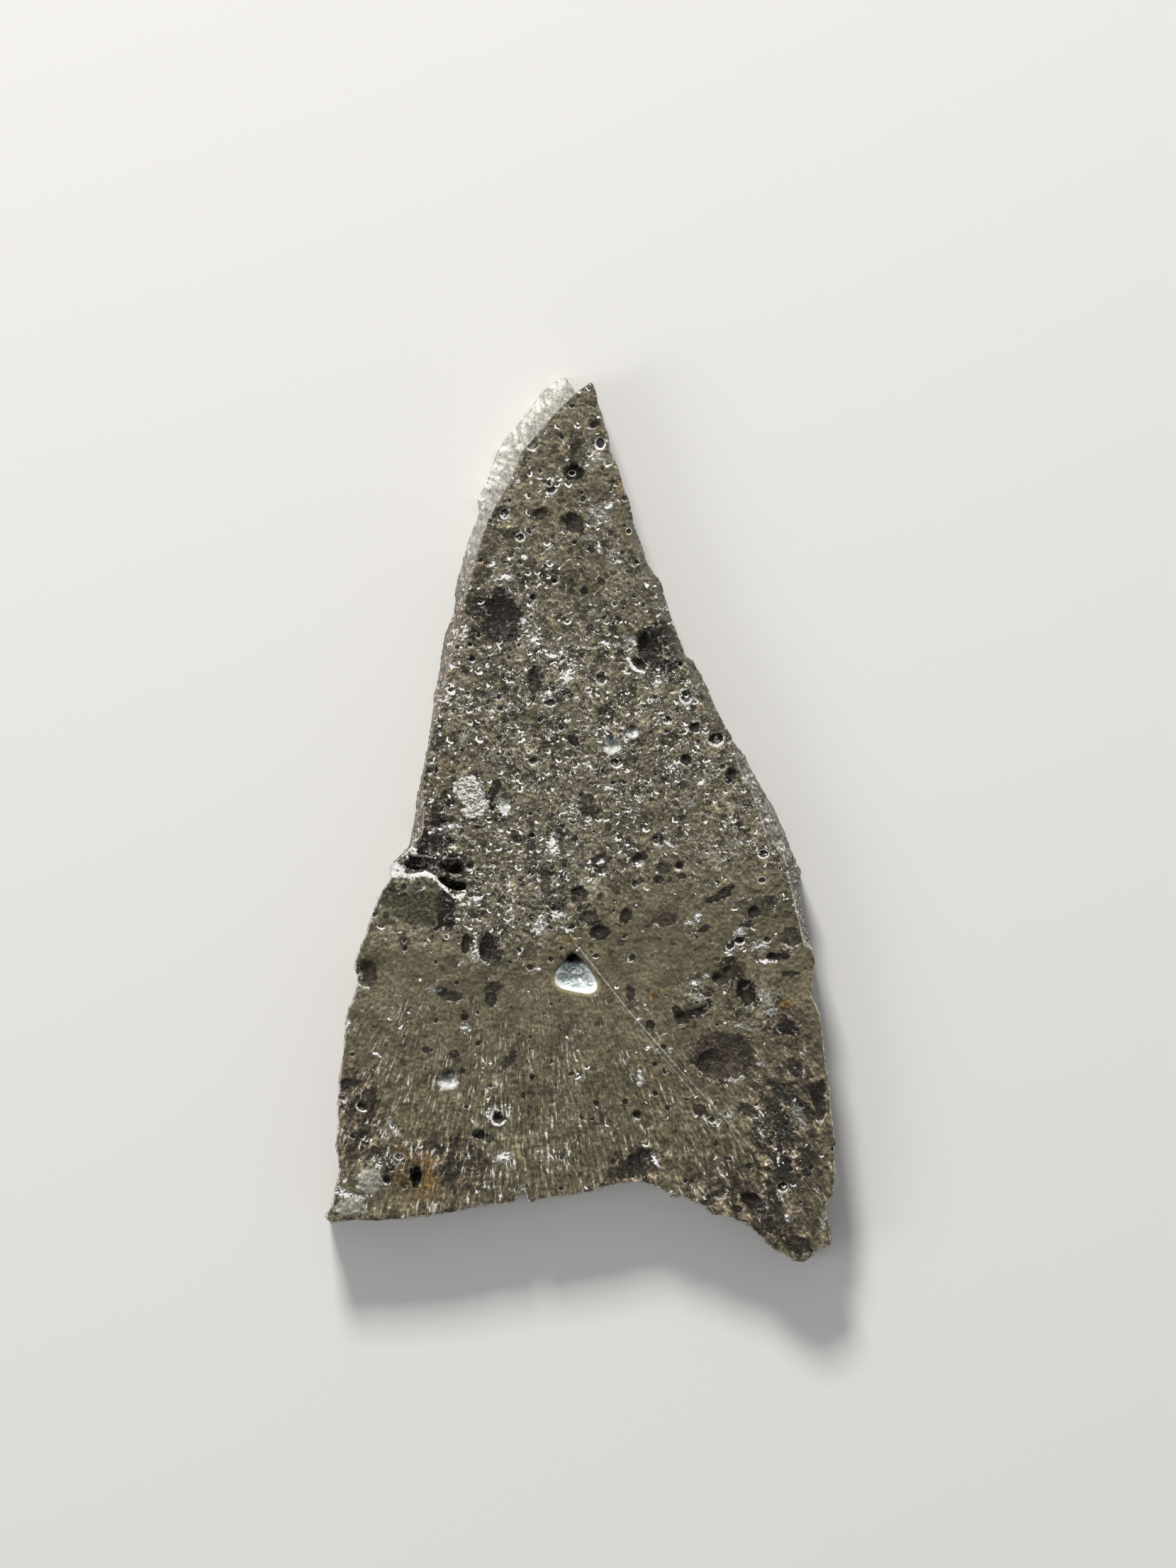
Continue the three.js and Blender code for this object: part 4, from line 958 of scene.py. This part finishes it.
def stoneMaterial():
    look = stoneLook
    material = bpy.data.materials.new("lunarBreccia")
    material.use_nodes = True
    material.node_tree.nodes.clear()
    g = Graph(material.node_tree)
    s = surfaceInputs(g)
    sawMarks(g, s)
    colour = darkGrains(g, s, matrixColour(g, s))

    s.crowd = (s.lit - 0.5 + (s.sparkle - 0.55) * look["crowding"] - s.patch * 0.04 - s.strip * 0.15
               + 0.07 * s.grainEdge - 0.06 * s.inGrain)
    colour = tinyPits(g, s, sparHaze(g, s, colour))
    # painted shade inside the scattered pits, and a painted highlight on their lower rims
    inside, crescent = vesicleSpots(g, s.place, s.sparkle)
    colour = g.mix(inside * 0.9 * s.flat, colour, look["pit"])
    colour = placedVesicles(g, s, colour)
    crescent = crescent * g.step(s.middle + (s.fine - 0.5) * 0.8, 0.44, 0.56)
    bright = g.both(whiteFlecks(g, s), g.both(crescent * 0.8, s.clastRim * g.step(s.ragged, 0.0, 0.3) * 0.8))
    scratched = scratchLines(g, s.x, s.y) * g.step(s.fine, 0.2, 0.8, 0.05, 0.6) * s.front
    bright = g.both(bright, scratched) * s.flat
    bright = g.both(bright, s.rims)
    # white flecks, scratches and rims, with the painted highlights, in one white
    colour = g.mix(bright, colour, look["fleck"])

    colour = powderAndRust(g, s, paleGrains(g, s, colour))
    colour = glassyFloor(g, s, colour)
    colour = g.mix(s.wall, colour, brokenWall(g, s))

    shine = g.both(bright, s.glassy)
    roughness = look["roughness"] - 0.18 * s.fine - look["shinyBy"] * shine + 0.2 * s.powder
    relief = (s.middle * look["mottleBump"] + s.fine * look["grainBump"] + bright * look["fleckBump"]
              - s.speck * look["speckSink"] - s.patch * look["patchSink"]
              + s.streak * s.streaky * look["sawBump"] + s.rib * s.wall * look["wallBump"])
    bump = g.node("ShaderNodeBump", None, {"Strength": 1.0, "Distance": mm, "Height": relief})
    shader = g.node("ShaderNodeBsdfPrincipled", None, {
        "Base Color": colour, "Roughness": roughness, "Normal": bump, "Specular IOR Level": look["specular"]})
    out = g.tree.nodes.new("ShaderNodeOutputMaterial")
    g.plug(out.inputs["Surface"], shader)
    return material


def buildStone(node):
    solid = readSolid(node)
    top = max(v.co.z for v in solid.verts)
    outline = faceOutline(solid, top)
    mesh = bpy.data.meshes.new("stoneBlank")
    solid.to_mesh(mesh)
    solid.free()
    stone = meshObject("stone", mesh)
    remesh = stone.modifiers.new("fine", "REMESH")
    remesh.mode = "VOXEL"
    remesh.voxel_size = stoneMesh["voxel"]
    applyModifiers(stone)
    print("stone remeshed:", len(stone.data.vertices), "vertices")

    stone.data.materials.append(stoneMaterial())
    co, wall, depth = markMesh(stone.data, outline, top)
    setField(stone.data, "sparkle", sparkleField(co))
    pits = stone.vertex_groups.new(name="pits")
    inPit = np.flatnonzero((wall < 0.2) & (depth > 0.03) & (co[:, 2] > 0.03))
    pits.add(inPit.tolist(), 1.0, "REPLACE")
    soften = stone.modifiers.new("soften", "SMOOTH")
    soften.vertex_group = "pits"
    soften.iterations = stoneMesh["pitSmoothing"]
    surface = stone.modifiers.new("surface", "NODES")
    surface.node_group = surfaceTree(stone.data)
    given = {
        "Face Roughness": stoneMesh["faceRoughness"],
        "Wall Roughness": stoneMesh["wallRoughness"],
        "Wall Grain": stoneMesh["wallGrain"],
        "Rib Spacing": stoneMesh["ribSpacing"],
        "Rib Height": stoneMesh["ribHeight"],
        "Pit Depth": scatteredPits["depth"],
    }
    for item in surface.node_group.interface.items_tree:
        if item.name in given:
            surface[item.identifier] = given[item.name]
    applyModifiers(stone)
    thin = stone.modifiers.new("thin", "DECIMATE")
    triangles = sum(len(p.vertices) - 2 for p in stone.data.polygons)
    thin.ratio = min(1.0, stoneMesh["triangles"] / triangles)
    applyModifiers(stone)
    print("stone roughened and thinned:", len(stone.data.polygons), "faces")

    mesh = stone.data
    setStoneFields(mesh, outline, top)
    co = coordinates(mesh)
    co[:, 2] = np.clip(co[:, 2], 0, top)
    mesh.vertices.foreach_set("co", (co * mm).astype(np.float32).ravel())
    mesh.update()
    mesh.shade_smooth()
    stone.vertex_groups.clear()
    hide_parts(node)
    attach(stone, "root")


# Table, lights and camera

stage = {
    "pxPerMm": 50.0,
    "imageSize": (1659, 2212),
    "stoneMiddle": (818.0, 1155.5),  # where the middle of the slice is in the image, in pixels
    "cameraHeight": 0.3,  # m above the face
    "cameraSees": (0.01, 10.0),
    "sensor": 24.0,  # mm
    "tableSize": 0.8,  # m, as the lights' places and sizes
    "tableColour": (0.78, 0.77, 0.75),
    "tableRoughness": 0.85,
    "skyColour": (0.97, 0.98, 1.0),
    "skyStrength": 0.36,
    "key": {"place": (-0.05, 0.2, 0.13), "size": 0.05, "power": 0.61, "colour": (1.0, 0.98, 0.94)},
    "fill": {"place": (-0.2, -0.06, 0.16), "size": 0.12, "power": 0.11, "colour": (1.0, 1.0, 1.0)},
}


def softLight(name):
    chosen = stage[name]
    light = bpy.data.lights.new(name, "AREA")
    light.size = chosen["size"]
    light.energy = chosen["power"]
    light.color = chosen["colour"]
    lamp = bpy.data.objects.new(name, light)
    lamp.location = chosen["place"]
    lamp.rotation_euler = (-Vector(chosen["place"])).to_track_quat("-Z", "Y").to_euler()
    bpy.context.scene.collection.objects.link(lamp)


def buildStage():
    bpy.ops.mesh.primitive_plane_add(size=stage["tableSize"])
    table = bpy.context.object
    table.name = "table"
    paint = bpy.data.materials.new("paleTable")
    paint.use_nodes = True
    shader = paint.node_tree.nodes["Principled BSDF"]
    shader.inputs["Base Color"].default_value = (*stage["tableColour"], 1.0)
    shader.inputs["Roughness"].default_value = stage["tableRoughness"]
    table.data.materials.append(paint)

    world = bpy.data.worlds.new("softSky")
    world.use_nodes = True
    sky = world.node_tree.nodes["Background"]
    sky.inputs["Color"].default_value = (*stage["skyColour"], 1.0)
    sky.inputs["Strength"].default_value = stage["skyStrength"]
    bpy.context.scene.world = world
    bpy.context.scene.view_settings.view_transform = "Standard"
    softLight("key")
    softLight("fill")

    width, height = stage["imageSize"]
    x = (width / 2 - stage["stoneMiddle"][0]) / stage["pxPerMm"] * mm
    y = (stage["stoneMiddle"][1] - height / 2) / stage["pxPerMm"] * mm
    seen = height / stage["pxPerMm"] * mm
    lens = bpy.data.cameras.new("lens")
    lens.sensor_fit = "VERTICAL"
    lens.sensor_height = stage["sensor"]
    lens.lens = stage["sensor"] * stage["cameraHeight"] / seen
    lens.clip_start, lens.clip_end = stage["cameraSees"]
    camera = bpy.data.objects.new("camera", lens)
    camera.location = (x, y, stage["cameraHeight"] + cadBox[1][2])
    bpy.context.scene.collection.objects.link(camera)
    bpy.context.scene.camera = camera


buildStone("meteorite_slice")
print("stone done")
buildStage()
print("stage done")
